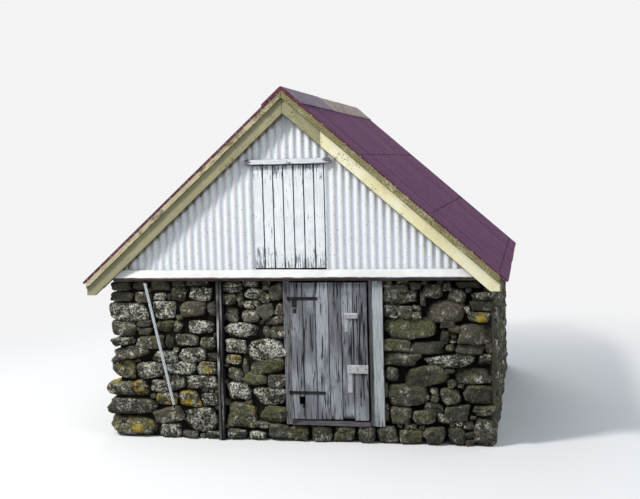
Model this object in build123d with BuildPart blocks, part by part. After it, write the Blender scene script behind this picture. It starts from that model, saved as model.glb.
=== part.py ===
from build123d import *
from math import cos, pi, radians, sin, tan
import os

# A small stone barn with a corrugated gable roof. Millimetres, +Z up.
# Origin: under the ridge, halfway along the roof, level with the lowest stones.
# The door gable faces -Y. X runs across the house, so +X is the side with the door casing.

# Walls of dry stone: plumb, except the left one, which leans in
wall_top = 1575
wall_thickness = 500
wall_setback = 119          # from the verge to the face of the gable walls
left_batter = 87            # how far the left face leans in over its height
right_ledge = 153           # face of the right wall, outside the wall plate
shoulder_clear = 20         # top of the right wall under the rafter tails

# Roof timbers
pitch_angle = 41.4          # slope of the roof in degrees
plate_outer = 1800          # outer edge of the wall plates, from the ridge line
plate_width = 100
plate_depth = 85
beam_width = 120
birdsmouth = 52             # depth of the rafters' notch over the plates
rafter_depth = 100
rafter_thickness = 50
rafter_pairs = 5
eave_overhang = 281         # from the wall plates out to the eave
rafter_overhang = 65        # rafter tails stop this far short of the eave
purlin_width = 75
purlin_thickness = 50
ridge_purlin = 110          # centre of the first row, down the slope from the apex
upper_purlin = 970
lower_purlin = 1820
eave_purlin = 130           # centre of the last row, back from the eave
ridge_board_thickness = 32
ridge_board_depth = 150
post_width = 50             # uprights behind the gable iron
post_depth = 75

# Roof sheets: corrugated iron laid in side-lapped strips down both slopes
corrugation = 76.2          # from crest to crest
corrugation_depth = 18.0    # height of the wave
wave_facets = 6             # flats that draw one wave
sheet_gauge = 1.0           # thickness of the iron
cover_waves = 8             # waves that one strip covers
lap_waves = 1               # waves that it shares with the next strip
strip_count = 7             # strips on each slope
lap_rise = 2.0              # the upper strip of a lap lies this much higher
ridge_gap = 40              # strips stop this far short of the apex
flange_depth = 24           # verge edge of the iron, folded down
seat = 0.3                  # gap between bent iron and its seat

# Ridge cap: three folded lengths with edges scribed into the waves
cap_leg = 235               # apex to the turned-down edge, along the slope
cap_gauge = 1.2
cap_roll = 22               # radius of the fold over the ridge
cap_joint_1 = 1650          # joints, measured from the front verge
cap_joint_2 = 2820
cap_lap = 60
cap_lap_rise = 2.0

# Verge: a cover strip nailed on a deeper bargeboard
verge_board_width = 60
verge_board_thickness = 25
bargeboard_width = 170
bargeboard_thickness = 22
left_board_inset = 42       # plumb cuts at the feet, back from the eave
right_board_inset = 83
board_foot_cut = 78         # height of the plumb cut left under the roof, above the level one
bargeboard_splice = 360     # short older piece at the top of the right front board
splice_gap = 2
apex_gap = 1.5              # between boards that meet at the ridge

# Gable: iron on the beam, a hatch of upright boards to the loft
cladding_lap = 20           # the iron hangs this far over the beam
cladding_inset = 10         # plumb ends of the iron, in from the beam's ends
cladding_clear = 2          # under the purlins
left_wave_x = -1048         # a crest of the left sheets
right_wave_x = 763          # a crest of the right sheets
hatch_left = -322
hatch_width = 692
hatch_rise = 40             # foot of the hatch above the beam
hatch_height = 985
hatch_board_count = 7
hatch_board_gap = 5
hatch_board_thickness = 20
hatch_ledge_width = 90
hatch_ledge_thickness = 22
hatch_ledge_inset = 80      # outer ledges, in from the ends of the boards
hatch_trim_overhang = 68
hatch_trim_height = 55
hatch_trim_thickness = 30
drip_left_inset = 15        # ends of the drip boards, in from the beam's ends
drip_right_inset = 50
drip_width = 92
drip_thickness = 18
drip_tilt = 18              # degrees out of plumb
drip_clear = 23             # above the top of the walls

# Loft
joist_count = 6
joist_width = 60
joist_depth = 100
joist_clear = 10            # to the wall plates
floor_board_thickness = 22
floor_board_count = 18
floor_board_gap = 4
floor_clear = 30            # to the ends of the joists

# Doorway and door leaf
leaf_left = 0
leaf_width = 752
leaf_setback = 106          # from the verge to the face of the planks
leaf_head_gap = 12
leaf_side_gap = 10
leaf_foot_gap = 13
plank_shares = [128, 124, 126, 122, 114, 138]       # uneven planks that fill the leaf
plank_gap = 3
plank_thickness = 25
finger_hole_left = 86       # from the hinge edge of the leaf; the next plank closes it
finger_hole_foot = 148      # above the foot of the leaf
finger_hole_height = 79
ledge_width = 100
ledge_thickness = 25
ledge_inset = 14
foot_ledge_rise = 12        # above the foot of the leaf
middle_ledge_rise = 362
head_ledge_drop = 105       # below the head of the leaf
sill_top = 215
sill_height = 45
sill_setback = 4            # behind the face of the leaf
jamb_clear = 4              # left jamb to the hinge edge of the leaf
left_jamb_width = 66
right_jamb_width = 54
jamb_setback = 135          # from the verge to the face of the jambs
jamb_depth = 100
casing_inset = 41           # from the right jamb's edge
casing_width = 97
casing_thickness = 25

# Ironwork of the door
pin_offset = 14             # pin axis to the edge of the leaf
pin_diameter = 12
eye_clearance = 1           # all round the pin
eye_wall = 5
strap_width = 28
strap_thickness = 6
upper_strap_drop = 155      # below the head of the leaf
upper_strap_length = 288
lower_strap_rise = 264      # above the foot of the leaf
lower_strap_length = 347
pintle_arm = 10
latch_thickness = 16
latch_strip_thickness = 5
upper_latch_drop = 294      # top of the block, below the head of the leaf
upper_latch_inset = 91      # from the closing edge of the leaf
upper_latch_size = (127, 51)
upper_strip_size = (32, 131)
lower_latch_drop = 794
lower_latch_size = (201, 80)
lower_strip_size = (46, 191)

# Post in the front wall, batten on the right corner, rope that ties the roof down
wall_post_left = -741
wall_post_width = 58
wall_post_depth = 100
wall_post_proud = 20
batten_inset = 1            # from the right corner
batten_width = 24
batten_depth = 34
batten_foot = 430
batten_top = 1264
rope_diameter = 18
rope_setback = 70           # from the verge to the middle of the rope
rope_top_x = -1452
rope_top_rise = 6           # upper eye, above the foot of the beam
rope_foot_x = -1191
rope_foot_z = 335
eye_ring_radius = 12
eye_wire = 6

# Values worked out from the sizes above
slope_cos = cos(radians(pitch_angle))
slope_sin = sin(radians(pitch_angle))
slope_tan = tan(radians(pitch_angle))
rafter_under = purlin_thickness + rafter_depth
plate_top = wall_top + plate_depth
roof_apex = plate_top - birdsmouth + plate_outer * slope_tan + rafter_under / slope_cos
roof_length = strip_count * cover_waves * corrugation
verge_y = -roof_length / 2
wave_middle = seat + (corrugation_depth + sheet_gauge) / 2
sheet_rise = seat + corrugation_depth + sheet_gauge + lap_rise
eave_x = plate_outer + eave_overhang
sheet_length = (eave_x - sheet_rise * slope_sin) / slope_cos
wall_front = verge_y + wall_setback
wall_inner = wall_front + wall_thickness
board_back = verge_y + sheet_gauge + seat + verge_board_thickness + bargeboard_thickness
left_face_top = plate_outer
left_face_foot = left_face_top + left_batter
right_face = plate_outer + right_ledge
leaf_right = leaf_left + leaf_width
leaf_top = wall_top - leaf_head_gap
leaf_foot = sill_top + leaf_foot_gap
leaf_front = verge_y + leaf_setback
jamb_front = verge_y + jamb_setback
jamb_left = leaf_left - jamb_clear
jamb_right = leaf_right + leaf_side_gap
doorway_left = jamb_left - left_jamb_width
doorway_right = jamb_right + right_jamb_width
casing_left = jamb_right + casing_inset
casing_right = casing_left + casing_width
foundation_top = sill_top - sill_height
hatch_right = hatch_left + hatch_width
hatch_foot = plate_top + hatch_rise
hatch_top = hatch_foot + hatch_height
finished = []


def save(piece, name):
    """Label one finished sub-part and write its STEP file."""
    piece.part.label = name
    export_step(piece.part, f"parts/{name}.step")
    finished.append(piece.part)


def roof_height(x, below=0):
    """Height of the purlin-top plane at x, or of a plane that lies below it."""
    return roof_apex - abs(x) * slope_tan - below / slope_cos


def slope_plane(side, along, normal):
    """Plane across one slope: local y points out of the roof, local z runs down the slope."""
    origin = (side * (along * slope_cos + normal * slope_sin), 0,
              roof_apex - along * slope_sin + normal * slope_cos)
    return Plane(origin=origin, x_dir=(0, side, 0), z_dir=(side * slope_cos, 0, -slope_sin))


def wave_points(start, waves, level, depth):
    """Corners of a corrugated surface: a sine wave drawn with a few flats."""
    turn = 2 * pi / wave_facets
    crest = max(sin(turn * flat) for flat in range(wave_facets))
    return [(start + flat * corrugation / wave_facets,
             level + depth / 2 * sin(turn * flat) / crest)
            for flat in range(waves * wave_facets + 1)]


def sheet_outline(start, waves, level, depth):
    """Closed outline of a corrugated sheet of even thickness."""
    under = wave_points(start, waves, level - sheet_gauge / 2, depth)
    over = wave_points(start, waves, level + sheet_gauge / 2, depth)
    return under + over[::-1]


os.makedirs("parts", exist_ok=True)

# Dry stone walls
shoulder_plane = rafter_under + shoulder_clear * slope_cos
right_shoulder = (roof_height(0, shoulder_plane) - wall_top) / slope_tan
left_profile = [(-left_face_foot, 0), (-left_face_top, wall_top)]
right_profile = [(right_shoulder, wall_top), (right_face, roof_height(right_face, shoulder_plane)),
                 (right_face, 0)]
gable_plane = Plane.XZ.offset(-wall_front)
post_right = wall_post_left + wall_post_width

with BuildPart() as front_wall_left:
    with BuildSketch(gable_plane):
        with BuildLine():
            Polyline(*left_profile, (post_right, wall_top), (post_right, 0), close=True)
        make_face()
    extrude(amount=-wall_thickness)
    with BuildSketch(Plane.XY):
        with Locations(((wall_post_left + post_right) / 2, wall_front)):
            Rectangle(wall_post_width, 2 * (wall_post_depth - wall_post_proud))
    extrude(amount=wall_top, mode=Mode.SUBTRACT)
save(front_wall_left, "front_wall_left")

with BuildPart() as front_wall_middle:
    with BuildSketch(Plane.XY):
        with Locations((post_right, wall_front)):
            Rectangle(doorway_left - post_right, wall_thickness, align=(Align.MIN, Align.MIN))
    extrude(amount=wall_top)
save(front_wall_middle, "front_wall_middle")

with BuildPart() as front_wall_right:
    with BuildSketch(gable_plane):
        with BuildLine():
            Polyline((doorway_right, 0), (doorway_right, wall_top), *right_profile, close=True)
        make_face()
    extrude(amount=-wall_thickness)
    with BuildSketch(Plane.XY):
        with Locations((doorway_right, wall_front)):
            Rectangle(casing_right - doorway_right, jamb_front - wall_front,
                      align=(Align.MIN, Align.MIN))
    extrude(amount=wall_top, mode=Mode.SUBTRACT)
save(front_wall_right, "front_wall_right")

with BuildPart() as door_foundation:
    with BuildSketch(Plane.XY):
        with Locations((doorway_left, wall_front)):
            Rectangle(doorway_right - doorway_left, wall_thickness, align=(Align.MIN, Align.MIN))
    extrude(amount=foundation_top)
save(door_foundation, "door_foundation")

with BuildPart() as back_wall:
    with BuildSketch(Plane.XZ.offset(wall_inner)):
        with BuildLine():
            Polyline(*left_profile, *right_profile, close=True)
        make_face()
    extrude(amount=-wall_thickness)
save(back_wall, "back_wall")

with BuildPart() as left_wall:
    with BuildSketch(Plane.XZ.offset(-wall_inner)):
        with BuildLine():
            Polyline(*left_profile, (wall_thickness - left_face_top, wall_top),
                     (wall_thickness - left_face_top, 0), close=True)
        make_face()
    extrude(amount=2 * wall_inner)
save(left_wall, "left_wall")

with BuildPart() as right_wall:
    with BuildSketch(Plane.XZ.offset(-wall_inner)):
        with BuildLine():
            Polyline((right_face - wall_thickness, 0), (right_face - wall_thickness, wall_top),
                     *right_profile, close=True)
        make_face()
    extrude(amount=2 * wall_inner)
save(right_wall, "right_wall")

# Post, batten and roof tie on the front
with BuildPart() as wall_post:
    with BuildSketch(Plane.XY):
        with Locations((wall_post_left, wall_front - wall_post_proud)):
            Rectangle(wall_post_width, wall_post_depth, align=(Align.MIN, Align.MIN))
    extrude(amount=wall_top)
save(wall_post, "wall_post")

with BuildPart() as corner_batten:
    with BuildSketch(Plane.XY.offset(batten_foot)):
        with Locations((right_face - batten_inset, wall_front)):
            Rectangle(batten_width, batten_depth, align=(Align.MAX, Align.MAX))
    extrude(amount=batten_top - batten_foot)
save(corner_batten, "corner_batten")

rope_y = verge_y + rope_setback
rope_top = (rope_top_x, wall_top + rope_top_rise)
rope_foot = (rope_foot_x, rope_foot_z)
rope_start = Vector(rope_top[0], rope_y, rope_top[1])
rope_run = Vector(rope_foot[0], rope_y, rope_foot[1]) - rope_start
ring_reach = eye_ring_radius + eye_wire / 2 + seat
with BuildPart() as tie_down:
    with BuildSketch(Plane(origin=rope_start + rope_run.normalized() * ring_reach,
                           z_dir=rope_run.normalized())):
        Circle(rope_diameter / 2)
    extrude(amount=rope_run.length - 2 * ring_reach)
save(tie_down, "tie_down")

with BuildPart() as tie_down_eyes:
    for eye_x, eye_z in (rope_top, rope_foot):
        with BuildSketch(Plane(origin=(eye_x, rope_y + eye_ring_radius, eye_z), z_dir=(0, 1, 0))):
            Circle(eye_wire / 2)
        extrude(amount=wall_front - rope_y - eye_ring_radius)
        with BuildSketch(Plane(origin=(eye_x - eye_wire / 2, rope_y, eye_z), z_dir=(1, 0, 0))):
            Circle(eye_ring_radius + eye_wire / 2)
            Circle(eye_ring_radius - eye_wire / 2, mode=Mode.SUBTRACT)
        extrude(amount=eye_wire)
save(tie_down_eyes, "tie_down_eyes")

# Beams and wall plates
with BuildPart() as front_beam:
    with BuildSketch(Plane.XY.offset(wall_top)):
        with Locations((0, wall_front)):
            Rectangle(2 * plate_outer, beam_width, align=(Align.CENTER, Align.MIN))
    extrude(amount=plate_top - wall_top)
save(front_beam, "front_beam")

with BuildPart() as back_beam:
    with BuildSketch(Plane.XY.offset(wall_top)):
        with Locations((0, -wall_front)):
            Rectangle(2 * plate_outer, beam_width, align=(Align.CENTER, Align.MAX))
    extrude(amount=plate_top - wall_top)
save(back_beam, "back_beam")

plate_length = -2 * (wall_front + beam_width)
plate_middle = plate_outer - plate_width / 2
with BuildPart() as wall_plates:
    with BuildSketch(Plane.XY.offset(wall_top)):
        with Locations((-plate_middle, 0), (plate_middle, 0)):
            Rectangle(plate_width, plate_length)
    extrude(amount=plate_top - wall_top)
save(wall_plates, "wall_plates")

# Loft: joists between the wall plates, boards along the house
joist_end = plate_outer - plate_width - joist_clear
floor_edge = joist_end - floor_clear
floor_start = wall_front + beam_width
joist_span = -2 * floor_start - joist_width
with BuildPart() as loft_joists:
    with BuildSketch(Plane.XY.offset(wall_top)):
        with GridLocations(0, joist_span / (joist_count - 1), 1, joist_count):
            Rectangle(2 * joist_end, joist_width)
    extrude(amount=joist_depth)
save(loft_joists, "loft_joists")

floor_pitch = 2 * floor_edge / floor_board_count
with BuildPart() as loft_floor:
    with BuildSketch(Plane.XY.offset(wall_top + joist_depth)):
        with GridLocations(floor_pitch, 0, floor_board_count, 1):
            Rectangle(floor_pitch - floor_board_gap, -2 * floor_start)
    extrude(amount=floor_board_thickness)
save(loft_floor, "loft_floor")

# Rafters, ridge board and purlins
rafter_tail = sheet_length - rafter_overhang
seat_inner = (roof_height(0, rafter_under) - plate_top) / slope_tan
half_ridge = ridge_board_thickness / 2
tail_x = rafter_tail * slope_cos
rafter_top_z = roof_height(half_ridge, purlin_thickness)
rafter_outline = [
    (half_ridge, rafter_top_z),
    (tail_x - purlin_thickness * slope_sin,
     roof_apex - rafter_tail * slope_sin - purlin_thickness * slope_cos),
    (tail_x - rafter_under * slope_sin,
     roof_apex - rafter_tail * slope_sin - rafter_under * slope_cos),
    (plate_outer, roof_height(plate_outer, rafter_under)),
    (plate_outer, plate_top),
    (seat_inner, plate_top),
    (half_ridge, roof_height(half_ridge, rafter_under)),
]
rafter_span = -2 * wall_front - rafter_thickness
with BuildPart() as rafters:
    for pair in range(rafter_pairs):
        rafter_y = wall_front + pair * rafter_span / (rafter_pairs - 1)
        for side in (-1, 1):
            with BuildSketch(Plane.XZ.offset(-rafter_y)):
                with BuildLine():
                    Polyline(*[(side * x, z) for x, z in rafter_outline], close=True)
                make_face()
            extrude(amount=-rafter_thickness)
save(rafters, "rafters")

with BuildPart() as ridge_board:
    with BuildSketch(Plane.XZ.offset(-wall_front)):
        with Locations((0, rafter_top_z)):
            Rectangle(ridge_board_thickness, ridge_board_depth, align=(Align.CENTER, Align.MAX))
    extrude(amount=2 * wall_front)
save(ridge_board, "ridge_board")

purlin_rows = [ridge_purlin, upper_purlin, lower_purlin, sheet_length - eave_purlin]
with BuildPart() as purlins:
    for side in (-1, 1):
        for row in purlin_rows:
            with BuildSketch(slope_plane(side, row - purlin_width / 2, -purlin_thickness / 2)):
                Rectangle(-2 * board_back, purlin_thickness)
            extrude(amount=purlin_width)
save(purlins, "purlins")

# Roof iron: each strip laps the next by a wave, and every other strip lies on top
strip_waves = cover_waves + lap_waves


def roof_sheets(side):
    """All strips of one slope, with the verge edges folded down."""
    with BuildPart() as sheets:
        for strip in range(strip_count):
            raised = strip % 2 == 1
            level = lap_rise if raised else 0
            first = strip == 0
            last = strip == strip_count - 1
            start = verge_y + strip * cover_waves * corrugation
            waves = cover_waves if last else strip_waves
            with BuildSketch(slope_plane(side, ridge_gap, wave_middle + level)):
                with BuildLine():
                    Polyline(*sheet_outline(start, waves, 0, corrugation_depth), close=True)
                make_face()
                if first:
                    with Locations((start, sheet_gauge / 2)):
                        Rectangle(sheet_gauge, flange_depth, align=(Align.MIN, Align.MAX))
                if last:
                    with Locations((start + waves * corrugation, sheet_gauge / 2)):
                        Rectangle(sheet_gauge, flange_depth, align=(Align.MAX, Align.MAX))
            extrude(amount=sheet_length - ridge_gap)
    return sheets


roof_sheets_left = roof_sheets(-1)
save(roof_sheets_left, "roof_sheets_left")
roof_sheets_right = roof_sheets(1)
save(roof_sheets_right, "roof_sheets_right")

# Ridge cap: a rolled fold with straight wings, and edges scribed to the waves below
cap_base = sheet_rise + seat
cap_ends = [0, cap_joint_1, cap_joint_2, roof_length]


def cap_wing(amount, base):
    """Corner points of the folded cap at one distance above the purlin plane."""
    foot = (cap_leg * slope_cos + (base + amount) * slope_sin,
            roof_apex - cap_leg * slope_sin + (base + amount) * slope_cos)
    peak = (0, roof_apex + (base + amount) / slope_cos)
    return foot, peak


with BuildPart() as ridge_cap:
    for length in range(3):
        upper = length != 1
        base = cap_base + (cap_lap_rise if upper else 0)
        cap_start = verge_y + cap_ends[length] - (0 if upper else cap_lap / 2)
        cap_end = verge_y + cap_ends[length + 1] + (0 if upper else cap_lap / 2)
        if length == 0:
            cap_end += cap_lap / 2
        if length == 2:
            cap_start -= cap_lap / 2
        foot, peak = cap_wing(0, base)
        outer_foot, outer_peak = cap_wing(cap_gauge, base)
        with BuildSketch(Plane.XZ.offset(-cap_start)):
            with BuildLine():
                FilletPolyline((-foot[0], foot[1]), peak, foot, radius=cap_roll)
                FilletPolyline((-outer_foot[0], outer_foot[1]), outer_peak, outer_foot,
                               radius=cap_roll + cap_gauge)
                Line(foot, outer_foot)
                Line((-foot[0], foot[1]), (-outer_foot[0], outer_foot[1]))
            make_face()
        extrude(amount=cap_start - cap_end)
        edge_start = cap_start + (cap_lap + cap_gauge if length == 2 else 0)
        edge_end = cap_end - (cap_lap + cap_gauge if length == 0 else 0)
        for side in (-1, 1):
            with BuildSketch(slope_plane(side, cap_leg - cap_gauge, base)):
                with Locations((side * (edge_start + edge_end) / 2, cap_gauge)):
                    Rectangle(edge_end - edge_start, 2 * corrugation_depth,
                              align=(Align.CENTER, Align.MAX))
                wave_level = wave_middle + lap_rise + sheet_gauge / 2 + seat - base
                edge = wave_points(verge_y - corrugation, strip_count * cover_waves + 2, wave_level,
                                   corrugation_depth)
                with BuildLine():
                    Polyline(*edge, (edge[-1][0], -3 * corrugation_depth),
                             (edge[0][0], -3 * corrugation_depth), close=True)
                make_face(mode=Mode.SUBTRACT)
            extrude(amount=cap_gauge)
save(ridge_cap, "ridge_cap")


# Verge boards and bargeboards
def rake_board(side, width, start, end, foot_cut=None):
    """Outline of a board along the rake: plumb ends, and if asked a level cut at its foot."""
    low = seat + width
    points = [(start, roof_height(start, seat)), (end, roof_height(end, seat))]
    if foot_cut is None:
        points.append((end, roof_height(end, low)))
    else:
        foot = roof_height(end, low) + foot_cut
        points += [(end, foot), ((roof_height(0, low) - foot) / slope_tan, foot)]
    points.append((start, roof_height(start, low)))
    return [(side * x, z) for x, z in points]


left_board_end = eave_x - left_board_inset
right_board_end = eave_x - right_board_inset
board_ends = {-1: left_board_end, 1: right_board_end}
verge_board_front = verge_y + sheet_gauge + seat
bargeboard_front = verge_board_front + verge_board_thickness

with BuildPart() as front_verge_boards:
    for side, end in board_ends.items():
        with BuildSketch(Plane.XZ.offset(-verge_board_front)):
            with BuildLine():
                Polyline(*rake_board(side, verge_board_width, apex_gap, end), close=True)
            make_face()
        extrude(amount=-verge_board_thickness)
save(front_verge_boards, "front_verge_boards")

with BuildPart() as back_verge_boards:
    for side, end in board_ends.items():
        with BuildSketch(Plane.XZ.offset(verge_board_front)):
            with BuildLine():
                Polyline(*rake_board(side, verge_board_width, apex_gap, end), close=True)
            make_face()
        extrude(amount=verge_board_thickness)
save(back_verge_boards, "back_verge_boards")

with BuildPart() as front_bargeboards:
    with BuildSketch(Plane.XZ.offset(-bargeboard_front)):
        with BuildLine():
            Polyline(*rake_board(-1, bargeboard_width, apex_gap, left_board_end, board_foot_cut),
                     close=True)
        make_face()
        with BuildLine():
            Polyline(*rake_board(1, bargeboard_width, apex_gap, bargeboard_splice), close=True)
        make_face()
        with BuildLine():
            Polyline(*rake_board(1, bargeboard_width, bargeboard_splice + splice_gap,
                                 right_board_end, board_foot_cut), close=True)
        make_face()
    extrude(amount=-bargeboard_thickness)
save(front_bargeboards, "front_bargeboards")

with BuildPart() as back_bargeboards:
    for side, end in board_ends.items():
        with BuildSketch(Plane.XZ.offset(bargeboard_front)):
            with BuildLine():
                Polyline(*rake_board(side, bargeboard_width, apex_gap, end, board_foot_cut),
                         close=True)
            make_face()
        extrude(amount=bargeboard_thickness)
save(back_bargeboards, "back_bargeboards")

# Gable iron: upright corrugated sheets cut to the rake under the purlins
cladding_below = purlin_thickness + cladding_clear
cladding_middle = wall_front - corrugation_depth / 2 - sheet_gauge / 2 - seat


def gable_sheet(left, right, foot, wave_y, wave_start):
    """Corrugated sheet between two plumb edges, from its foot up to the rake."""
    first = int((left - wave_start) // corrugation)
    last = int((right - wave_start) // corrugation) + 1
    outline = [(left, foot), (left, roof_height(left, cladding_below))]
    if left < 0 < right:
        outline.append((0, roof_height(0, cladding_below)))
    outline += [(right, roof_height(right, cladding_below)), (right, foot)]
    with BuildPart() as sheet:
        with BuildSketch(Plane.XY.offset(foot)):
            with BuildLine():
                Polyline(*sheet_outline(wave_start + first * corrugation, last - first, wave_y,
                                        corrugation_depth), close=True)
            make_face()
        extrude(amount=roof_apex - foot)
        with BuildSketch(Plane.XZ.offset(-wave_y - 2 * corrugation_depth)):
            with BuildLine():
                Polyline(*outline, close=True)
            make_face()
        extrude(amount=4 * corrugation_depth, mode=Mode.INTERSECT)
    return sheet


cladding_foot = plate_top - cladding_lap
cladding_end = plate_outer - cladding_inset
crest_shift = corrugation * 3 / 4
left_wave = left_wave_x - crest_shift
right_wave = right_wave_x - crest_shift
front_cladding_left = gable_sheet(-cladding_end, hatch_left - hatch_board_gap, cladding_foot,
                                  cladding_middle, left_wave)
save(front_cladding_left, "front_cladding_left")
front_cladding_right = gable_sheet(hatch_right + hatch_board_gap, cladding_end, cladding_foot,
                                   cladding_middle, right_wave)
save(front_cladding_right, "front_cladding_right")
front_cladding_top = gable_sheet(hatch_left - hatch_board_gap + sheet_gauge,
                                 hatch_right + hatch_board_gap - sheet_gauge,
                                 hatch_top + hatch_board_gap, cladding_middle, right_wave)
save(front_cladding_top, "front_cladding_top")
back_cladding = gable_sheet(-cladding_end, cladding_end, cladding_foot, -cladding_middle, left_wave)
save(back_cladding, "back_cladding")

# Uprights of the gables: both sides of the hatch, and the same at the back
with BuildPart() as gable_posts:
    for front in (True, False):
        for post_left in (hatch_left - post_width, hatch_right):
            edges = (post_left, post_left + post_width)
            offset = -wall_front if front else wall_front + post_depth
            with BuildSketch(Plane.XZ.offset(offset)):
                with BuildLine():
                    Polyline((edges[0], plate_top), (edges[1], plate_top),
                             (edges[1], roof_height(edges[1], rafter_under)),
                             (edges[0], roof_height(edges[0], rafter_under)), close=True)
                make_face()
            extrude(amount=-post_depth)
save(gable_posts, "gable_posts")

# Loft hatch: upright boards on ledges, a trim over the head
board_pitch = (hatch_right - hatch_left + hatch_board_gap) / hatch_board_count
with BuildPart() as hatch_boards:
    with BuildSketch(Plane.XY.offset(hatch_foot)):
        for board in range(hatch_board_count):
            with Locations((hatch_left + board * board_pitch, wall_front - hatch_board_thickness)):
                Rectangle(board_pitch - hatch_board_gap, hatch_board_thickness,
                          align=(Align.MIN, Align.MIN))
    extrude(amount=hatch_top - hatch_foot)
save(hatch_boards, "hatch_boards")

with BuildPart() as hatch_ledges:
    for ledge_z in (hatch_foot + hatch_ledge_inset, (hatch_foot + hatch_top - hatch_ledge_width) / 2,
                    hatch_top - hatch_ledge_inset - hatch_ledge_width):
        with BuildSketch(Plane.XY.offset(ledge_z)):
            with Locations((hatch_left, wall_front)):
                Rectangle(hatch_right - hatch_left, hatch_ledge_thickness,
                          align=(Align.MIN, Align.MIN))
        extrude(amount=hatch_ledge_width)
save(hatch_ledges, "hatch_ledges")

cladding_face = cladding_middle - corrugation_depth / 2 - sheet_gauge / 2
with BuildPart() as hatch_head_trim:
    with BuildSketch(Plane.XY.offset(hatch_top + hatch_board_gap)):
        with Locations(((hatch_left + hatch_right) / 2, cladding_face - seat)):
            Rectangle(hatch_width + 2 * hatch_trim_overhang, hatch_trim_thickness,
                      align=(Align.CENTER, Align.MAX))
    extrude(amount=hatch_trim_height)
save(hatch_head_trim, "hatch_head_trim")


# Drip boards: tilted outwards over the joint between the iron and the beam
def drip_board(facing):
    """Tilted board whose upper back edge touches the gable iron."""
    tilt = radians(drip_tilt)
    foot = wall_top + drip_clear
    back = facing * (-cladding_face + seat)
    back_top = (back, foot + drip_width * cos(tilt))
    back_foot = (back + facing * drip_width * sin(tilt), foot)
    thickness = (facing * drip_thickness * cos(tilt), drip_thickness * sin(tilt))
    front_foot = (back_foot[0] + thickness[0], back_foot[1] + thickness[1])
    front_top = (back_top[0] + thickness[0], back_top[1] + thickness[1])
    drip_left = drip_left_inset - plate_outer
    drip_right = plate_outer - drip_right_inset
    with BuildPart() as board:
        with BuildSketch(Plane(origin=(drip_left, 0, 0), x_dir=(0, 1, 0), z_dir=(1, 0, 0))):
            with BuildLine():
                Polyline(back_top, back_foot, front_foot, front_top, close=True)
            make_face()
        extrude(amount=drip_right - drip_left)
    return board


front_drip_board = drip_board(-1)
save(front_drip_board, "front_drip_board")
back_drip_board = drip_board(1)
save(back_drip_board, "back_drip_board")

# Door frame
with BuildPart() as door_jambs:
    with BuildSketch(Plane.XY.offset(foundation_top)):
        for jamb_x, jamb_width in ((doorway_left, left_jamb_width), (jamb_right, right_jamb_width)):
            with Locations((jamb_x, jamb_front)):
                Rectangle(jamb_width, jamb_depth, align=(Align.MIN, Align.MIN))
    extrude(amount=wall_top - foundation_top)
save(door_jambs, "door_jambs")

with BuildPart() as door_casing:
    with BuildSketch(Plane.XY.offset(foundation_top)):
        with Locations((casing_left, jamb_front)):
            Rectangle(casing_right - casing_left, casing_thickness, align=(Align.MIN, Align.MAX))
    extrude(amount=wall_top - foundation_top)
save(door_casing, "door_casing")

with BuildPart() as door_sill:
    with BuildSketch(Plane.XY.offset(foundation_top)):
        with Locations((jamb_left, leaf_front + sill_setback)):
            Rectangle(jamb_right - jamb_left, jamb_depth, align=(Align.MIN, Align.MIN))
    extrude(amount=sill_height)
save(door_sill, "door_sill")

# Door leaf: upright planks on three ledges, a finger hole low down
plank_edges = [leaf_left + leaf_width * sum(plank_shares[:count]) / sum(plank_shares)
               for count in range(len(plank_shares) + 1)]
with BuildPart() as door_planks:
    with BuildSketch(Plane.XY.offset(leaf_foot)):
        for left, right in zip(plank_edges[:-1], plank_edges[1:]):
            with Locations((left + plank_gap / 2, leaf_front)):
                Rectangle(right - left - plank_gap, plank_thickness, align=(Align.MIN, Align.MIN))
    extrude(amount=leaf_top - leaf_foot)
    with BuildSketch(Plane.XY.offset(leaf_foot + finger_hole_foot)):
        with Locations((leaf_left + finger_hole_left, leaf_front)):
            Rectangle(plank_edges[1] - leaf_left - finger_hole_left, plank_thickness,
                      align=(Align.MIN, Align.MIN))
    extrude(amount=finger_hole_height, mode=Mode.SUBTRACT)
save(door_planks, "door_planks")

with BuildPart() as door_ledges:
    for ledge_foot in (leaf_foot + foot_ledge_rise, leaf_foot + middle_ledge_rise,
                       leaf_top - head_ledge_drop - ledge_width):
        with BuildSketch(Plane.XY.offset(ledge_foot)):
            with Locations((leaf_left + ledge_inset, leaf_front + plank_thickness)):
                Rectangle(leaf_width - 2 * ledge_inset, ledge_thickness,
                          align=(Align.MIN, Align.MIN))
        extrude(amount=ledge_width)
save(door_ledges, "door_ledges")

# Strap hinges on the leaf, pintles driven into the left jamb
pin_x = leaf_left - pin_offset
pin_y = leaf_front - strap_thickness / 2
eye_bore = pin_diameter / 2 + eye_clearance
strap_rows = [(leaf_top - upper_strap_drop - strap_width / 2, upper_strap_length),
              (leaf_foot + lower_strap_rise - strap_width / 2, lower_strap_length)]
with BuildPart() as strap_hinges:
    for strap_foot, strap_length in strap_rows:
        with BuildSketch(Plane.XY.offset(strap_foot)):
            with Locations((pin_x, pin_y)):
                Rectangle(strap_length, strap_thickness, align=(Align.MIN, Align.CENTER))
                Circle(eye_bore + eye_wall)
                Circle(eye_bore, mode=Mode.SUBTRACT)
        extrude(amount=strap_width)
save(strap_hinges, "strap_hinges")

with BuildPart() as hinge_pintles:
    for strap_foot, strap_length in strap_rows:
        pin_foot = strap_foot - pintle_arm
        with BuildSketch(Plane.XY.offset(pin_foot)):
            with Locations((pin_x, pin_y)):
                Circle(pin_diameter / 2)
        extrude(amount=strap_width + pintle_arm + pin_diameter / 2)
        with BuildSketch(Plane.XY.offset(pin_foot)):
            with Locations((pin_x - pin_diameter / 2, pin_y)):
                Rectangle(pin_diameter, jamb_front - pin_y, align=(Align.MIN, Align.MIN))
        extrude(amount=pintle_arm - seat)
save(hinge_pintles, "hinge_pintles")


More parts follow.
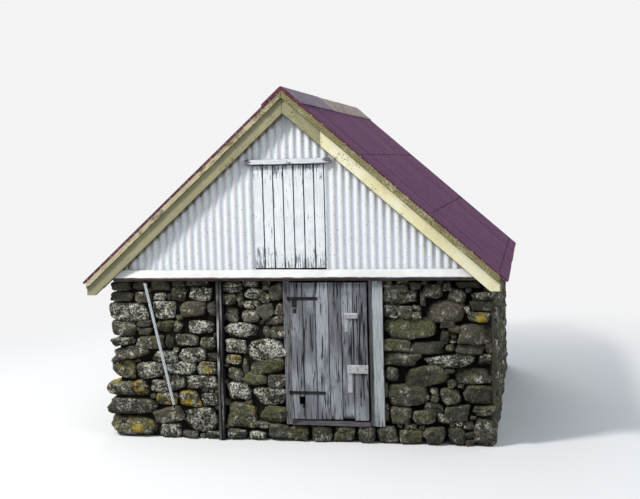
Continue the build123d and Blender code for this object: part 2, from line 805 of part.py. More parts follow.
# Latches: a cover block on the leaf over an upright iron strip
def latch(right, top, block, strip):
    """Block and strip on the face of the planks, as one piece, hung from its top right corner."""
    with BuildPart() as piece:
        with BuildSketch(Plane.XY.offset(top - block[1])):
            with Locations((right - block[0], leaf_front)):
                Rectangle(block[0], latch_thickness, align=(Align.MIN, Align.MAX))
        extrude(amount=block[1])
        with BuildSketch(Plane.XY.offset(top - block[1] - strip[1])):
            with Locations((right - block[0], leaf_front)):
                Rectangle(strip[0], latch_strip_thickness, align=(Align.MIN, Align.MAX))
        extrude(amount=strip[1])
    return piece


upper_latch = latch(leaf_right - upper_latch_inset, leaf_top - upper_latch_drop,
                    upper_latch_size, upper_strip_size)
save(upper_latch, "upper_latch")
lower_latch = latch(leaf_right, leaf_top - lower_latch_drop, lower_latch_size, lower_strip_size)
save(lower_latch, "lower_latch")

box = Compound(children=finished).bounding_box()
print("pieces", len(finished), "low", box.min, "high", box.max)
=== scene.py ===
import bpy
import numpy as np
from math import cos, pi, radians, sin, tan
from mathutils import Matrix, Vector


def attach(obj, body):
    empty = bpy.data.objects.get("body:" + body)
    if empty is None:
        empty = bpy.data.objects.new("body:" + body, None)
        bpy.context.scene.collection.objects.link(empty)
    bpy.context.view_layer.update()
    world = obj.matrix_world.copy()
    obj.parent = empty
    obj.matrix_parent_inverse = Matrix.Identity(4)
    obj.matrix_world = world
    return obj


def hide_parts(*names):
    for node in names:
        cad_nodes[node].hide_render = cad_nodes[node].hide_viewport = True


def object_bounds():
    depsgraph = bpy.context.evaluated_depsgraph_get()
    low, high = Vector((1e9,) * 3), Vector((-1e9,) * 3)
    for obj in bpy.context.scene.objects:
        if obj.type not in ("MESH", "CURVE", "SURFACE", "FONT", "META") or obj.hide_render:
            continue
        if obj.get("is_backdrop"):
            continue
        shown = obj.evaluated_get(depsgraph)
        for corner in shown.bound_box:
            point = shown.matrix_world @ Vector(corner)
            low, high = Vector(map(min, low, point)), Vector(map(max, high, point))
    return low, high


# Dry stone barn with a corrugated roof: stones, boards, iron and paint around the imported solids.
# Metres, +Z up, the door gable faces -Y, X = 0 under the ridge, Z = 0 at the lowest stones.
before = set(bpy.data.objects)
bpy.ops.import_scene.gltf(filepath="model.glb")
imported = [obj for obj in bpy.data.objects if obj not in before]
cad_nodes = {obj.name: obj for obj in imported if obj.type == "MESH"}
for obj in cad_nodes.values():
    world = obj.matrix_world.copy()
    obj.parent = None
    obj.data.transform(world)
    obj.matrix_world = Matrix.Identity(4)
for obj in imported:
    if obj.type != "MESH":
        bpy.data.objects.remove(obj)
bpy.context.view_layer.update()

# Sizes of the house, the same as the solids have
pitch = radians(41.4)
slope_cos, slope_sin, slope_tan = cos(pitch), sin(pitch), tan(pitch)
seat = .0003                # gap between iron or a board and what carries it
wall_top = 1.575
wall_thickness = .5
plate_top = 1.660
plate_outer = 1.8
birdsmouth = .052           # depth of the rafters' notch over the plates
rafter_under = .150         # from the rafters' undersides up to the purlin tops
roof_apex = plate_top - birdsmouth + plate_outer * slope_tan + rafter_under / slope_cos
wave = .0762                # corrugated iron, from crest to crest
wave_half = .009            # half the height of a wave
waves_along = 56
gauge = .001
verge_y = -waves_along / 2 * wave
wave_middle = seat + wave_half + gauge / 2
lap_rise = .002             # the upper strip of a lap lies this much higher
sheet_rise = seat + 2 * wave_half + gauge + lap_rise
sheet_start = .040
eave_x = 2.081
sheet_end = (eave_x - sheet_rise * slope_sin) / slope_cos
purlin_width, purlin_thick = .075, .050
purlin_rows = (.110, .970, 1.820, sheet_end - .130)
wall_front = verge_y + .119
wall_inner = wall_front + wall_thickness
left_foot, left_top, right_face = -1.887, -1.800, 1.953
leaf_front = verge_y + .106
jamb_front = verge_y + .135
verge_depth = .025          # room for the verge boards before the bargeboards
barge_thick, barge_width = .022, .170
bargeboard_y = verge_y + gauge + seat + verge_depth + barge_thick / 2
board_back = bargeboard_y + barge_thick / 2
cladding_y = wall_front - wave_half - gauge / 2 - seat
cladding_face = cladding_y - wave_half - gauge / 2
post_left, post_right = -.741, -.683
doorway_left, doorway_right = -.074, .816


# Mesh tools
def grid_quads(rows, columns, wrap=False):
    """Corner numbers of every cell of a grid; wrap joins the last column to the first."""
    index = np.arange(rows * columns).reshape(rows, columns)
    if wrap:
        index = np.hstack([index, index[:, :1]])
    return np.stack([index[:-1, :-1], index[1:, :-1], index[1:, 1:], index[:-1, 1:]], -1).reshape(-1, 4)


def round_quads(rings):
    """Faces of a tube whose rings have eight points each, closed at both ends by three faces."""
    cap = np.array([[0, 1, 2, 3], [0, 3, 4, 7], [4, 5, 6, 7]])
    return np.vstack([grid_quads(rings, 8, wrap=True), cap, cap[:, ::-1] + (rings - 1) * 8])


def outward(points, quads):
    """Faces of several like solids. A solid whose volume, the sum of a . (b x c) over its triangles, is below
    nought has its faces turned."""
    count, size = points.shape[:2]
    centred = points - points.mean(axis=1, keepdims=True)
    a, b, c, d = (centred[:, quads[:, k]] for k in range(4))
    volume = (a * np.cross(b, c)).sum((1, 2)) + (a * np.cross(c, d)).sum((1, 2))
    turned = np.where(volume[:, None, None] < 0, quads[None, :, ::-1], quads[None])
    return (turned + np.arange(count)[:, None, None] * size).reshape(-1, 4)


def put(name, points, quads, finish, slot, body="barn", stands_for=(), sharp=None, **values):
    """One piece from whole arrays: points, faces, point values, and a grain map where one is given."""
    points = np.asarray(points, float).reshape(-1, 3)
    mesh = bpy.data.meshes.new(name)
    mesh.from_pydata(points.tolist(), [], np.asarray(quads).reshape(-1, 4).tolist())
    corner = np.empty(len(mesh.loops), np.int32)
    mesh.loops.foreach_get("vertex_index", corner)
    for key, value in values.items():
        value = np.asarray(value, np.float32)
        if key == "grain":
            layer = mesh.uv_layers.new(name="grain")
            layer.data.foreach_set("uv", value.reshape(-1, 2)[corner].ravel())
        else:
            mesh.attributes.new(key, "FLOAT", "POINT").data.foreach_set("value", value.ravel())
    if sharp is None:
        mesh.polygons.foreach_set("use_smooth", np.ones(len(mesh.polygons), bool))
    else:
        mesh.set_sharp_from_angle(angle=radians(sharp))
    mesh.materials.append(finish)
    piece = bpy.data.objects.new(name, mesh)
    bpy.context.scene.collection.objects.link(piece)
    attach(piece, body)
    if stands_for:
        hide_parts(*stands_for)
    return piece


def drift(rng, count, distance, slowest=.7, waves=4):
    """Smooth wander with distance for each of several items: a sum of sines with random phases, scaled to
    stay within one."""
    distance = np.atleast_2d(distance)
    rate = slowest * 1.9 ** np.arange(waves)[:, None]
    size = 1 / (1 + np.arange(waves))[:, None]
    phase = rng.uniform(0, 2 * pi, (count, waves, 1))
    return (size * np.sin(2 * pi * rate * distance[:, None, :] + phase)).sum(1) / size.sum()


def each(value):
    """A vector, or a list of vectors, as a table with one row for each item."""
    return np.atleast_2d(np.asarray(value, float))


def lumpy(rng, amount, run, side, waves=14):
    """Height of a rubble face: a sum of sines in random directions over it."""
    count = len(run)
    rate = rng.normal(0, 9, (count, waves, 2))
    turn = rng.uniform(0, 2 * pi, (count, waves, 1, 1))
    angle = rate[:, :, 0, None, None] * run[:, None] + rate[:, :, 1, None, None] * side[:, None] + turn
    return amount * np.sin(angle).sum(1) / 4


def board_arrays(seed, start, along, across, out, bevel=.002, wander=.0015, bow=.0008, ragged=(0, 0),
                 columns=8, stations=14, ends=None, trim=None, stops=(), lumps=0):
    """Boards as arrays. A point is start + v along + a across + b out: v runs the length, a the width
    between two wandering edges, and b is half the thickness, less a bevel at the edges and ends."""
    rng = np.random.default_rng(seed)
    start, along, across, out = np.broadcast_arrays(each(start), each(along), each(across), each(out))
    count = len(start)
    length, width, depth = (np.linalg.norm(x, axis=1)[:, None] for x in (along, across, out))
    v = np.hstack([0 * length, bevel + np.linspace(0, 1, stations - 2) * (length - 2 * bevel), length])
    if len(stops):
        v = np.sort(np.hstack([v, np.broadcast_to(stops, (count, len(stops)))]), axis=1)
    a = np.hstack([0 * width, bevel + np.linspace(0, 1, columns - 2) * (width - 2 * bevel), width])
    u = a / width
    a = a - width / 2
    low, high = (0 * a, length + 0 * a) if ends is None else ends(a)
    rough = rng.random((2, *a.shape)) * .55 + rng.random((2, count, 1)) * .45
    low = low + np.reshape(ragged[0], (-1, 1)) * rough[0]
    high = high - np.reshape(ragged[1], (-1, 1)) * rough[1]
    share = (v / length)[:, :, None]
    run = low[:, None] + share * (high - low)[:, None]
    sway = [drift(rng, count, v) * wander for _ in range(2)]
    side = a[:, None] + sway[0][:, :, None] * (1 - u)[:, None] + sway[1][:, :, None] * u[:, None]
    if trim is not None:
        side = side + trim(run, u[:, None])
    edge = np.zeros(columns)
    edge[[0, -1]] = 1
    tip = np.zeros(v.shape[1])
    tip[[0, -1]] = 1
    half = depth[:, :, None] / 2 - bevel * np.maximum(edge, tip[:, None])
    lift = (drift(rng, count, v) * bow)[:, :, None]
    faces = []
    for sign in (1, -1):
        bump = lumpy(rng, lumps, run, side) if lumps else 0
        faces.append((run, side, lift + sign * (half + bump)))
    run, side, thick = (np.concatenate([one, two[:, :, ::-1]], axis=2) for one, two in zip(*faces))
    unit = [(x / np.linalg.norm(x, axis=1, keepdims=True))[:, None, None] for x in (along, across, out)]
    points = (start[:, None, None] + run[..., None] * unit[0] + side[..., None] * unit[1]
              + thick[..., None] * unit[2])
    rows, around = v.shape[1], 2 * columns
    cap = np.arange(columns - 1)
    cap = np.stack([cap, cap + 1, around - 2 - cap, around - 1 - cap], 1)
    quads = np.vstack([grid_quads(rows, around, wrap=True), cap, cap[:, ::-1] + (rows - 1) * around])
    points = points.reshape(count, -1, 3)
    number = rng.random((count, 1, 1))
    full = np.concatenate([u, u[:, ::-1]], axis=1)[:, None] + 0 * run
    first, last = run.min((1, 2), keepdims=True), run.max((1, 2), keepdims=True)
    values = {"grain": np.stack([side + thick + 7 * number, run + 5 * number], -1), "seed": number + 0 * run,
              "breadth": full, "reach": np.minimum(run - first, last - run), "run": run - first}
    return points, outward(points, quads), values


def boards(name, finish, slot, seed, start, along, across, out, body="barn", stands_for=(), **shape):
    """One piece of boards worked out by board_arrays."""
    points, quads, values = board_arrays(seed, start, along, across, out, **shape)
    return put(name, points, quads, finish, slot, body, stands_for, sharp=38, **values)


def join(groups):
    """Several sets of points, faces and values as one."""
    shift, points, quads, values = 0, [], [], {}
    for some_points, some_quads, some_values in groups:
        flat = some_points.reshape(-1, 3)
        points.append(flat)
        quads.append(some_quads + shift)
        shift += len(flat)
        for key, value in some_values.items():
            values.setdefault(key, []).append(value.reshape(len(flat), -1))
    return np.vstack(points), np.vstack(quads), {key: np.vstack(value) for key, value in values.items()}


def put_joined(name, groups, *where, **how):
    """One piece of several groups of points, faces and values."""
    points, quads, values = join(groups)
    return put(name, points, quads, *where, **how, **values)


def shell(over, under, **values):
    """Closed sheet between two grids of the same size: both faces, and a rim that joins their edges."""
    rows, columns = over.shape[:2]
    index = np.arange(rows * columns).reshape(rows, columns)
    rim = np.concatenate([index[0], index[1:, -1], index[-1, -2::-1], index[-2:0:-1, 0]])
    nxt = np.roll(rim, -1)
    top = grid_quads(rows, columns)
    quads = np.vstack([top, top[:, ::-1] + rows * columns,
                       np.stack([rim, nxt, nxt + rows * columns, rim + rows * columns], 1)])
    points = np.vstack([over.reshape(-1, 3), under.reshape(-1, 3)])[None]
    both = {key: np.tile(np.broadcast_to(value, (rows, columns)).ravel(), 2) for key, value in values.items()}
    return points, outward(points, quads), both


def bent(line, thickness):
    """A bent line's two sides, each half the thickness out along the line's normal."""
    run = np.gradient(line, axis=0)
    normal = np.stack([-run[:, 1], run[:, 0]], 1)
    normal /= np.linalg.norm(normal, axis=1, keepdims=True)
    return line + normal * thickness / 2, line - normal * thickness / 2


def nail_arrays(places, axis, radius, height):
    """Domed nail heads: a profile of five rings, given as shares of the radius and the height, is carried
    round the axis and closed at both ends."""
    places = np.atleast_2d(places)
    axis = np.broadcast_to(axis, places.shape)
    axis = axis / np.linalg.norm(axis, axis=1, keepdims=True)
    helper = np.where(np.abs(axis[:, 2:]) > .8, [[1., 0, 0]], [[0, 0, 1.]])
    one = np.cross(helper, axis)
    one /= np.linalg.norm(one, axis=1, keepdims=True)
    two = np.cross(axis, one)
    turn = np.arange(8) * pi / 4
    rings = np.array([[.02, -.6], [1, -.6], [1, .1], [.72, .75], [.02, 1]])
    ring = rings[:, None, 0] * radius * np.stack([np.cos(turn), np.sin(turn)])[:, None]
    points = (places[:, None, None] + ring[0][None, ..., None] * one[:, None, None]
              + ring[1][None, ..., None] * two[:, None, None]
              + rings[None, :, 1, None, None] * height * axis[:, None, None])
    points = points.reshape(len(places), -1, 3)
    return points, outward(points, round_quads(len(rings)))


def nails(name, finish, slot, places, axis, radius, height, body="barn"):
    """One piece of like nail heads."""
    return put(name, *nail_arrays(places, axis, radius, height), finish, slot, body)


# Finishes
def tone(red, green, blue):
    """A colour given in screen values, as the linear one that shaders use."""
    value = np.array([red, green, blue]) / 255
    linear = np.where(value <= .04045, value / 12.92, ((value + .055) / 1.055) ** 2.4)
    return (*linear, 1.0)


def tone_times(factor, colour):
    """The tone of a colour whose screen values are all made smaller or larger by a factor."""
    return tone(*(factor * np.array(colour)))


class Finish:
    """A procedural material, built up in steps that hand sockets to each other."""

    def __init__(self, name, **constants):
        self.material = bpy.data.materials.new(name)
        self.material.use_nodes = True
        self.tree = self.material.node_tree
        self.shader = self.tree.nodes["Principled BSDF"]
        for key, value in constants.items():
            self.shader.inputs[key.replace("_", " ")].default_value = value
        self.normal = None

    def step(self, kind, inputs=None, out=0, **settings):
        """One shader node, its inputs linked or set, and the socket that it gives."""
        made = self.tree.nodes.new("ShaderNode" + kind)
        for key, value in settings.items():
            setattr(made, key, value)
        for key, value in (inputs or {}).items():
            if isinstance(value, bpy.types.NodeSocket):
                self.tree.links.new(value, made.inputs[key])
            else:
                made.inputs[key].default_value = value
        return made.outputs[out]

    def place(self, grain=False):
        """Object coordinates, or the boards' own grain map."""
        if grain:
            return self.step("UVMap", uv_map="grain")
        return self.step("TexCoord", out="Object")

    def axis(self, number, where=None):
        """One coordinate of a place."""
        return self.step("SeparateXYZ", {0: self.place() if where is None else where}, out=number)

    def value(self, name):
        """One of the values that the mesh gives for each of its points."""
        return self.step("Attribute", out="Fac", attribute_name=name)

    def sums(self, operation, one, two=0.0, three=None):
        """A sum on one, two or three numbers."""
        inputs = {0: one, 1: two} if three is None else {0: one, 1: two, 2: three}
        return self.step("Math", inputs, operation=operation)

    def times(self, one, two):
        return self.sums("MULTIPLY", one, two)

    def plus(self, one, two):
        return self.sums("ADD", one, two)

    def noise(self, scale, detail=5, roughness=.6, stretch=(1, 1, 1), where=None, grain=False, twist=0):
        """Noise over a place; it is drawn out along an axis whose stretch is small."""
        where = self.place(grain) if where is None else where
        where = self.step("Mapping", {"Vector": where, "Scale": stretch})
        return self.step("TexNoise", {"Vector": where, "Scale": scale, "Detail": detail,
                                      "Roughness": roughness, "Distortion": twist})

    def mask(self, value, low, high):
        """Nought below one level, one above the other, and smooth between them."""
        return self.step("MapRange", {"Value": value, "From Min": low, "From Max": high},
                         interpolation_type="SMOOTHSTEP")

    def mix(self, share, one, two, blend="MIX"):
        """The first colour, with a share of the second laid over it."""
        return self.step("Mix", {0: share, 6: one, 7: two}, out=2, data_type="RGBA", blend_type=blend)

    def shade(self, colour, factor):
        """A colour times a plain factor."""
        return self.mix(1.0, colour, factor, blend="MULTIPLY")

    def bump(self, height, strength, distance):
        """One more layer of relief on top of those before it."""
        inputs = {"Height": height, "Strength": strength, "Distance": distance}
        if self.normal is not None:
            inputs["Normal"] = self.normal
        self.normal = self.step("Bump", inputs)

    def done(self, colour, roughness=None):
        """The material, once its colour, relief and, where it varies, its roughness are linked."""
        self.tree.links.new(colour, self.shader.inputs["Base Color"])
        if roughness is not None:
            self.tree.links.new(roughness, self.shader.inputs["Roughness"])
        if self.normal is not None:
            self.tree.links.new(self.normal, self.shader.inputs["Normal"])
        return self.material


def stone_finish():
    """Basalt: dark and light grains, pale crusts, gold lichen and moss by each stone's values, and painted
    shade that darkens each stone behind the wall's face, in the joints."""
    f = Finish("lichened_stone", Roughness=.93, Specular_IOR_Level=.2)
    where = f.step("VectorMath", {0: f.place(), 1: f.times(f.value("seed"), 23.0)}, operation="ADD")
    broad = f.mask(f.noise(6, 5, .6, where=where), .34, .66)
    grains = f.noise(52, 8, .78, where=where)
    fine = f.noise(130, 5, .7, where=where)
    blotch = f.noise(12, 8, .74, where=where)
    light = f.mix(broad, tone(92, 91, 80), tone(122, 120, 106))
    smooth = f.mask(f.value("pale"), .50, .15)
    dark = f.mix(broad, tone(18, 17, 15), tone(38, 36, 31))
    dark = f.mix(f.times(smooth, .45), dark, light)
    light = f.mix(f.times(f.value("warm"), f.mask(blotch, .36, .60)), light, tone(122, 102, 78))
    crust = f.mask(f.plus(blotch, f.times(f.value("pale"), .16)), .57, .65)
    light = f.mix(f.times(crust, .92), light, tone(228, 226, 211))
    colour = f.mix(f.mask(grains, .44, .60), dark, light)
    flecks = f.mask(f.plus(fine, f.plus(f.times(crust, .06), f.times(smooth, -.03))), .64, .69)
    colour = f.mix(f.times(flecks, .85), colour, tone(224, 223, 211))
    up = f.axis(2, f.step("NewGeometry", out="Normal"))
    moss = f.plus(f.times(up, .13), f.plus(f.noise(7, 7, .72, where=where), f.times(f.value("moss"), .22)))
    moss = f.times(f.mask(moss, .58, .78), f.mask(grains, .34, .56))
    speckle = f.mask(fine, .35, .65)
    colour = f.mix(f.times(moss, .70), colour, f.mix(speckle, tone(68, 70, 40), tone(136, 135, 86)))
    gold = f.plus(f.times(up, .05), f.plus(f.noise(8, 7, .74, where=where), f.times(f.value("gold"), .22)))
    gold = f.times(f.mask(gold, .69, .76), f.mask(grains, .32, .50))
    colour = f.mix(f.times(gold, .9), colour, f.mix(speckle, tone(122, 104, 30), tone(200, 172, 50)))
    colour = f.shade(colour, f.value("shade"))
    # Painted shade: the deeper a point lies behind the face, the nearer it is to black, as shade in the
    # joints.
    colour = f.mix(f.mask(f.value("inward"), .14, .60), colour, tone(13, 12, 10))
    f.bump(blotch, .7, .012)
    f.bump(grains, .7, .006)
    f.bump(fine, .4, .002)
    return f.done(colour)


def paint_left(f, grain, cover, flake, worn, foot):
    """Where paint is left on a board: it has gone in flakes, most at the edges, the ends and the foot."""
    size, pull = flake
    left = f.noise(size, 8, .72, stretch=(1, pull, 1), grain=grain)
    patch = f.noise(5, 4, .6, grain=grain)
    left = f.plus(left, f.times(f.sums("SUBTRACT", patch, .5), .45))
    if grain:
        amount, distance = worn
        edge = f.sums("ABSOLUTE", f.sums("SUBTRACT", f.value("breadth"), .5))
        left = f.plus(left, f.times(f.mask(edge, .40, .5), -.6 * amount))
        left = f.plus(left, f.times(f.mask(f.value("reach"), distance, 0), -amount))
        if foot:
            left = f.plus(left, f.times(f.mask(f.value("breadth"), .24, .06), -foot))
    return f.mask(left, .615 - cover * .5, .65 - cover * .5), patch


def timber_finish(name, dark, light, paint=None, cover=.5, flake=(34, .28), worn=(.12, .10), foot=0, cracks=0,
                  silver=None, growth=None, dirt=0, dust=0, grain=True, stretch=(1, .05, 1), coat=None,
                  lined=.8, rim=.6, streaks=0):
    """Weathered boards: grain lines and splits along the length, and paint that has flaked off in places.
    Cover, dirt, dust, lined, rim and streaks say how much there is of paint, specks, grime in the paint,
    grain lines, dark long edges, which are grime and painted shade of the gaps, and thin dark streaks.
    Growth is moss: its strength and colour, the stretch of the board over which it thins out, and how much
    less of it grows on the left slope."""
    f = Finish(name, Roughness=.86, Specular_IOR_Level=.22)
    lines = f.noise(150, 6, .7, stretch=stretch, grain=grain)
    bands = f.noise(26, 5, .65, stretch=stretch, grain=grain, twist=.6)
    colour = f.mix(f.mask(bands, .32, .68), tone(*dark), tone(*light))
    if silver is not None:
        bare = f.mask(f.noise(3.2, 5, .6, stretch=(1, .45, 1), grain=grain), .46, .60)
        colour = f.mix(f.times(bare, .75), colour, tone(*silver))
    colour = f.mix(f.times(f.mask(lines, .46, .64), lined), colour, tone_times(.45, dark))
    height = f.sums("SUBTRACT", 0.0, lines)
    if cracks:
        split = f.noise(15, 3, .5, stretch=(1, .035, 1), grain=grain)
        split = f.mask(f.sums("ABSOLUTE", f.sums("SUBTRACT", split, .5)), .012 * cracks, .003 * cracks)
        split = f.times(split, f.mask(f.noise(6, 3, .6, stretch=(1, .4, 1), grain=grain), .42, .54))
        colour = f.mix(split, colour, tone_times(.28, dark))
        height = f.plus(height, f.times(split, -1.5))
    if streaks:
        thin = f.mask(f.noise(58, 4, .6, stretch=(1, .05, 1), grain=grain), .585, .63)
        colour = f.mix(f.times(thin, streaks), colour, tone_times(.30, dark))
    if grain:
        colour = f.shade(colour, f.sums("MULTIPLY_ADD", f.value("seed"), .36, .82))
    if paint is not None:
        painted, patch = paint_left(f, grain, cover, flake, worn, foot)
        tint = f.mix(f.mask(patch, .35, .65), tone(*paint), tone_times(.94, paint))
        if coat is not None:
            tint = f.mix(f.mask(f.noise(2.2, 4, .6, grain=grain), .42, .62), tint, tone(*coat))
        if dust:
            grime = f.times(f.mask(lines, .40, .62), dust)
            tint = f.mix(grime, tint, tone_times(.66, paint))
        colour = f.mix(painted, colour, tint)
        height = f.plus(f.times(height, .4), painted)
    if growth is not None:
        strength, moss_tone, near, far, lee = growth
        fuzz = f.noise(52, 6, .75, grain=grain)
        moss = f.plus(f.times(f.noise(7, 7, .75, stretch=(1, .5, 1), grain=grain), .55), f.times(fuzz, .45))
        moss = f.plus(moss, f.times(f.mask(f.value("run"), far, near), .06))
        moss = f.plus(moss, f.times(f.mask(f.axis(0), .1, -.1), -lee))
        moss = f.mask(moss, .60 - strength * .16, .66 - strength * .16)
        speckle = f.mask(f.noise(90, 4, .7, grain=grain), .40, .60)
        tuft = f.mix(speckle, tone_times(.55, moss_tone), tone_times(1.25, moss_tone))
        colour = f.mix(f.times(moss, .85), colour, tuft)
        height = f.plus(height, f.times(moss, .8))
    # Dark long edges: grime, and painted shade of the gaps between boards.
    if grain and rim:
        edge = f.sums("ABSOLUTE", f.sums("SUBTRACT", f.value("breadth"), .5))
        colour = f.mix(f.times(f.mask(edge, .455, .495), rim), colour, tone_times(.42, dark))
    if dirt:
        specks = f.mask(f.noise(120, 4, .7, grain=grain), .64, .69)
        colour = f.mix(f.times(specks, dirt), colour, tone(58, 54, 46))
    f.bump(bands, .35, .003)
    f.bump(height, .6, .0012)
    return f.done(colour)


def iron_finish(name, paint, faded, valley, fall, rust, streak, gloss, verge=None, rake_rust=0, dirt=.3,
                stains=None, trough=(.30, .80)):
    """Painted corrugated iron: faded in clouds, with streaks down the fall and rust in spots. The valleys
    take
    a tone of their own: dirt and painted shade where it is dark, painted light where it is pale. Rake rust
    gathers on a gable close under the slope, where a greyer band just under the slope is painted shade."""
    f = Finish(name, Metallic=0.0, Specular_IOR_Level=.12)
    broad = f.noise(1.6, 5, .6)
    cloud = f.noise(9, 6, .65)
    colour = f.mix(f.mask(broad, .36, .64), tone(*paint), tone(*faded))
    colour = f.mix(f.times(f.mask(cloud, .45, .75), .3), colour, tone_times(.84, paint))
    strips = f.mask(f.noise(9, 4, .8, stretch=fall), .38, .62)
    lines = f.noise(36, 5, .7, stretch=fall)
    dull = f.sums("SUBTRACT", 1.0, strips)
    colour = f.mix(f.times(dull, .8 * streak), colour, tone_times(.74, paint))
    colour = f.mix(f.times(f.mask(lines, .50, .70), streak), colour, tone_times(.70, paint))
    # Valley tone: painted shading of the waves' flanks; dirt and shade where dark, pale blue light on the
    # gable.
    low = f.value("valley")
    colour = f.mix(f.times(f.mask(low, *trough), .85), colour, tone(*valley))
    if stains is not None:
        spread = f.mask(f.noise(14, 7, .75), .48, .58)
        colour = f.mix(f.times(spread, .75), colour, tone(*stains))
    specks = f.mask(f.noise(70, 4, .7), .615, .65)
    colour = f.mix(f.times(specks, dirt), colour, tone(66, 60, 58))
    spots = f.noise(26, 7, .75)
    if rake_rust:
        across = f.sums("ABSOLUTE", f.axis(0))
        below = f.sums("SUBTRACT", f.sums("SUBTRACT", roof_apex, f.times(across, slope_tan)), f.axis(2))
        below = f.times(below, slope_cos)
        # A greyer band just under the bargeboards: painted shade.
        colour = f.mix(f.times(f.mask(below, .192, .172), .75), colour, tone(112, 108, 96))
        near = f.mask(below, .245, .165)
        spots = f.plus(spots, f.times(near, f.plus(f.times(low, .7 * rake_rust), rake_rust * .55)))
    rusty = f.mask(spots, .76 - rust * .3, .80 - rust * .3)
    colour = f.mix(rusty, colour, f.mix(f.mask(cloud, .35, .6), tone(58, 38, 30), tone(140, 84, 52)))
    if verge is not None:
        chalk = f.mask(f.noise(38, 6, .75), .54, .64)
        worn = f.mix(f.mask(cloud, .35, .65), tone(*verge), tone_times(.8, verge))
        worn = f.mix(f.times(chalk, .30), worn, tone(168, 142, 136))
        colour = f.mix(f.value("verge"), colour, worn)
    f.bump(cloud, .2, .002)
    f.bump(f.sums("SUBTRACT", f.times(lines, .3), rusty), .4, .0008)
    return f.done(colour, f.plus(f.times(rusty, .4), f.sums("MULTIPLY_ADD", cloud, .2, gloss)))


def plain_finish(name, dark, light, scale, metallic=0.0, roughness=.7, bump=.001, specular=.25):
    """A cast, forged or earthy surface: two tones in patches, and fine pits."""
    f = Finish(name, Metallic=metallic, Roughness=roughness, Specular_IOR_Level=specular)
    broad = f.noise(scale * .2, 6, .65)
    fine = f.noise(scale, 6, .7)
    colour = f.mix(f.mask(broad, .35, .65), tone(*dark), tone(*light))
    colour = f.mix(f.times(f.mask(fine, .5, .7), .6), colour, tone_times(.6, dark))
    f.bump(fine, .6, bump)
    return f.done(colour)


def rope_finish():
    """Pale worn fibre, with painted shade darkening the grooves between the strands."""
    f = Finish("rope_fibre", Roughness=.9, Specular_IOR_Level=.25)
    fine = f.noise(200, 6, .7)
    colour = f.mix(f.mask(fine, .40, .65), tone(240, 246, 249), tone(196, 205, 211))
    # Painted shade in the grooves, by how near a point lies to the rope's axis.
    colour = f.mix(f.mask(f.value("inward"), .12, .48), colour, tone(86, 94, 99))
    f.bump(fine, .6, .001)
    return f.done(colour)


stone = stone_finish()
# Near-black rubble for the walls' heart: dark earth, and painted shade in the joints where it shows.
shaded_rubble = plain_finish("dark_shaded_rubble", (16, 15, 13), (34, 31, 26), 30, roughness=.95, bump=.008, specular=.1)
fine_grain = (1, .03, 1)
door_wood = timber_finish(
    "door_planks", (98, 100, 106), (134, 137, 143), silver=(168, 172, 178), cracks=2.6, dirt=.6,
    stretch=fine_grain, lined=.5, rim=.85, streaks=.85)
frame_wood = timber_finish(
    "weathered_frame", (100, 100, 102), (140, 142, 144), silver=(164, 166, 168), cracks=1, dirt=.4,
    stretch=fine_grain)
post_wood = timber_finish(
    "split_post", (52, 51, 49), (94, 94, 91), silver=(188, 190, 190), cracks=3, dirt=.4,
    stretch=fine_grain, rim=.9, streaks=.6)
batten_wood = timber_finish("dark_batten", (62, 55, 48), (98, 89, 78), cracks=2, dirt=.4, stretch=fine_grain)
sill_wood = timber_finish("damp_sill", (74, 66, 72), (110, 102, 108), cracks=1.5, dirt=.6)
casing_wood = timber_finish(
    "pale_casing", (130, 136, 139), (166, 171, 174), paint=(188, 194, 197), cover=.46, flake=(50, .06),
    dirt=.5, dust=.8, cracks=1.8, stretch=fine_grain, rim=.4, streaks=.45)
house_timber = timber_finish("house_timber", (84, 72, 60), (132, 116, 96))
frame_timber = timber_finish("roof_timber", (84, 72, 60), (132, 116, 96), grain=False, stretch=(1, .08, 1))
hatch_paint = timber_finish(
    "flaking_white_boards", (122, 126, 134), (164, 168, 176), paint=(246, 250, 253), cover=.54,
    flake=(70, .07), worn=(.12, .24), cracks=1.2, dirt=.7, dust=.20, streaks=.3)
drip_paint = timber_finish(
    "white_drip_board", (84, 74, 86), (128, 118, 128), paint=(237, 236, 234), cover=.74, worn=(.05, .05),
    foot=.55, dirt=.2, dust=.12)
trim_paint = timber_finish(
    "white_trim", (88, 86, 90), (140, 138, 142), paint=(230, 234, 239), cover=.54, flake=(50, .12),
    worn=(.30, .10), foot=.30, dirt=.4, dust=.2)
barge_paint = timber_finish(
    "yellow_boards", (120, 110, 84), (158, 146, 112), paint=(246, 236, 186), cover=.78, flake=(60, .16),
    worn=(.06, .04), dirt=.6, dust=.14, coat=(249, 243, 210), rim=.5,
    growth=(.12, (156, 148, 102), .3, 2.2, 0))
# Darker, greyer yellow paint: partly age and grime, partly painted shade of the overhang on the left board.
aged_shaded_barge_paint = timber_finish(
    "aged_shaded_yellow_boards", (92, 87, 68), (130, 124, 98), paint=(170, 164, 128), cover=.56, flake=(60, .16),
    worn=(.10, .05), foot=.16, dirt=.8, dust=.35, coat=(152, 148, 118),
    growth=(.12, (100, 95, 64), .3, 2.2, 0))
verge_paint = timber_finish(
    "old_verge_boards", (100, 94, 70), (146, 138, 106), paint=(206, 199, 162), cover=.42, flake=(60, .18),
    worn=(.05, .06), dirt=.9, dust=.4, coat=(184, 176, 140), rim=.8,
    growth=(1.0, (116, 111, 70), .30, 1.6, .09))
maroon_verge = (98, 52, 66)
down_slope = (.04, 1, .04)
# The roof's valleys and flanks are painted near black: dirt, and painted shade of the waves' flanks.
roof_paint = iron_finish(
    "maroon_iron", (130, 87, 121), (138, 96, 128), (40, 25, 37), verge=maroon_verge, fall=down_slope,
    rust=.04, streak=.62, gloss=.6, trough=(.02, .28))
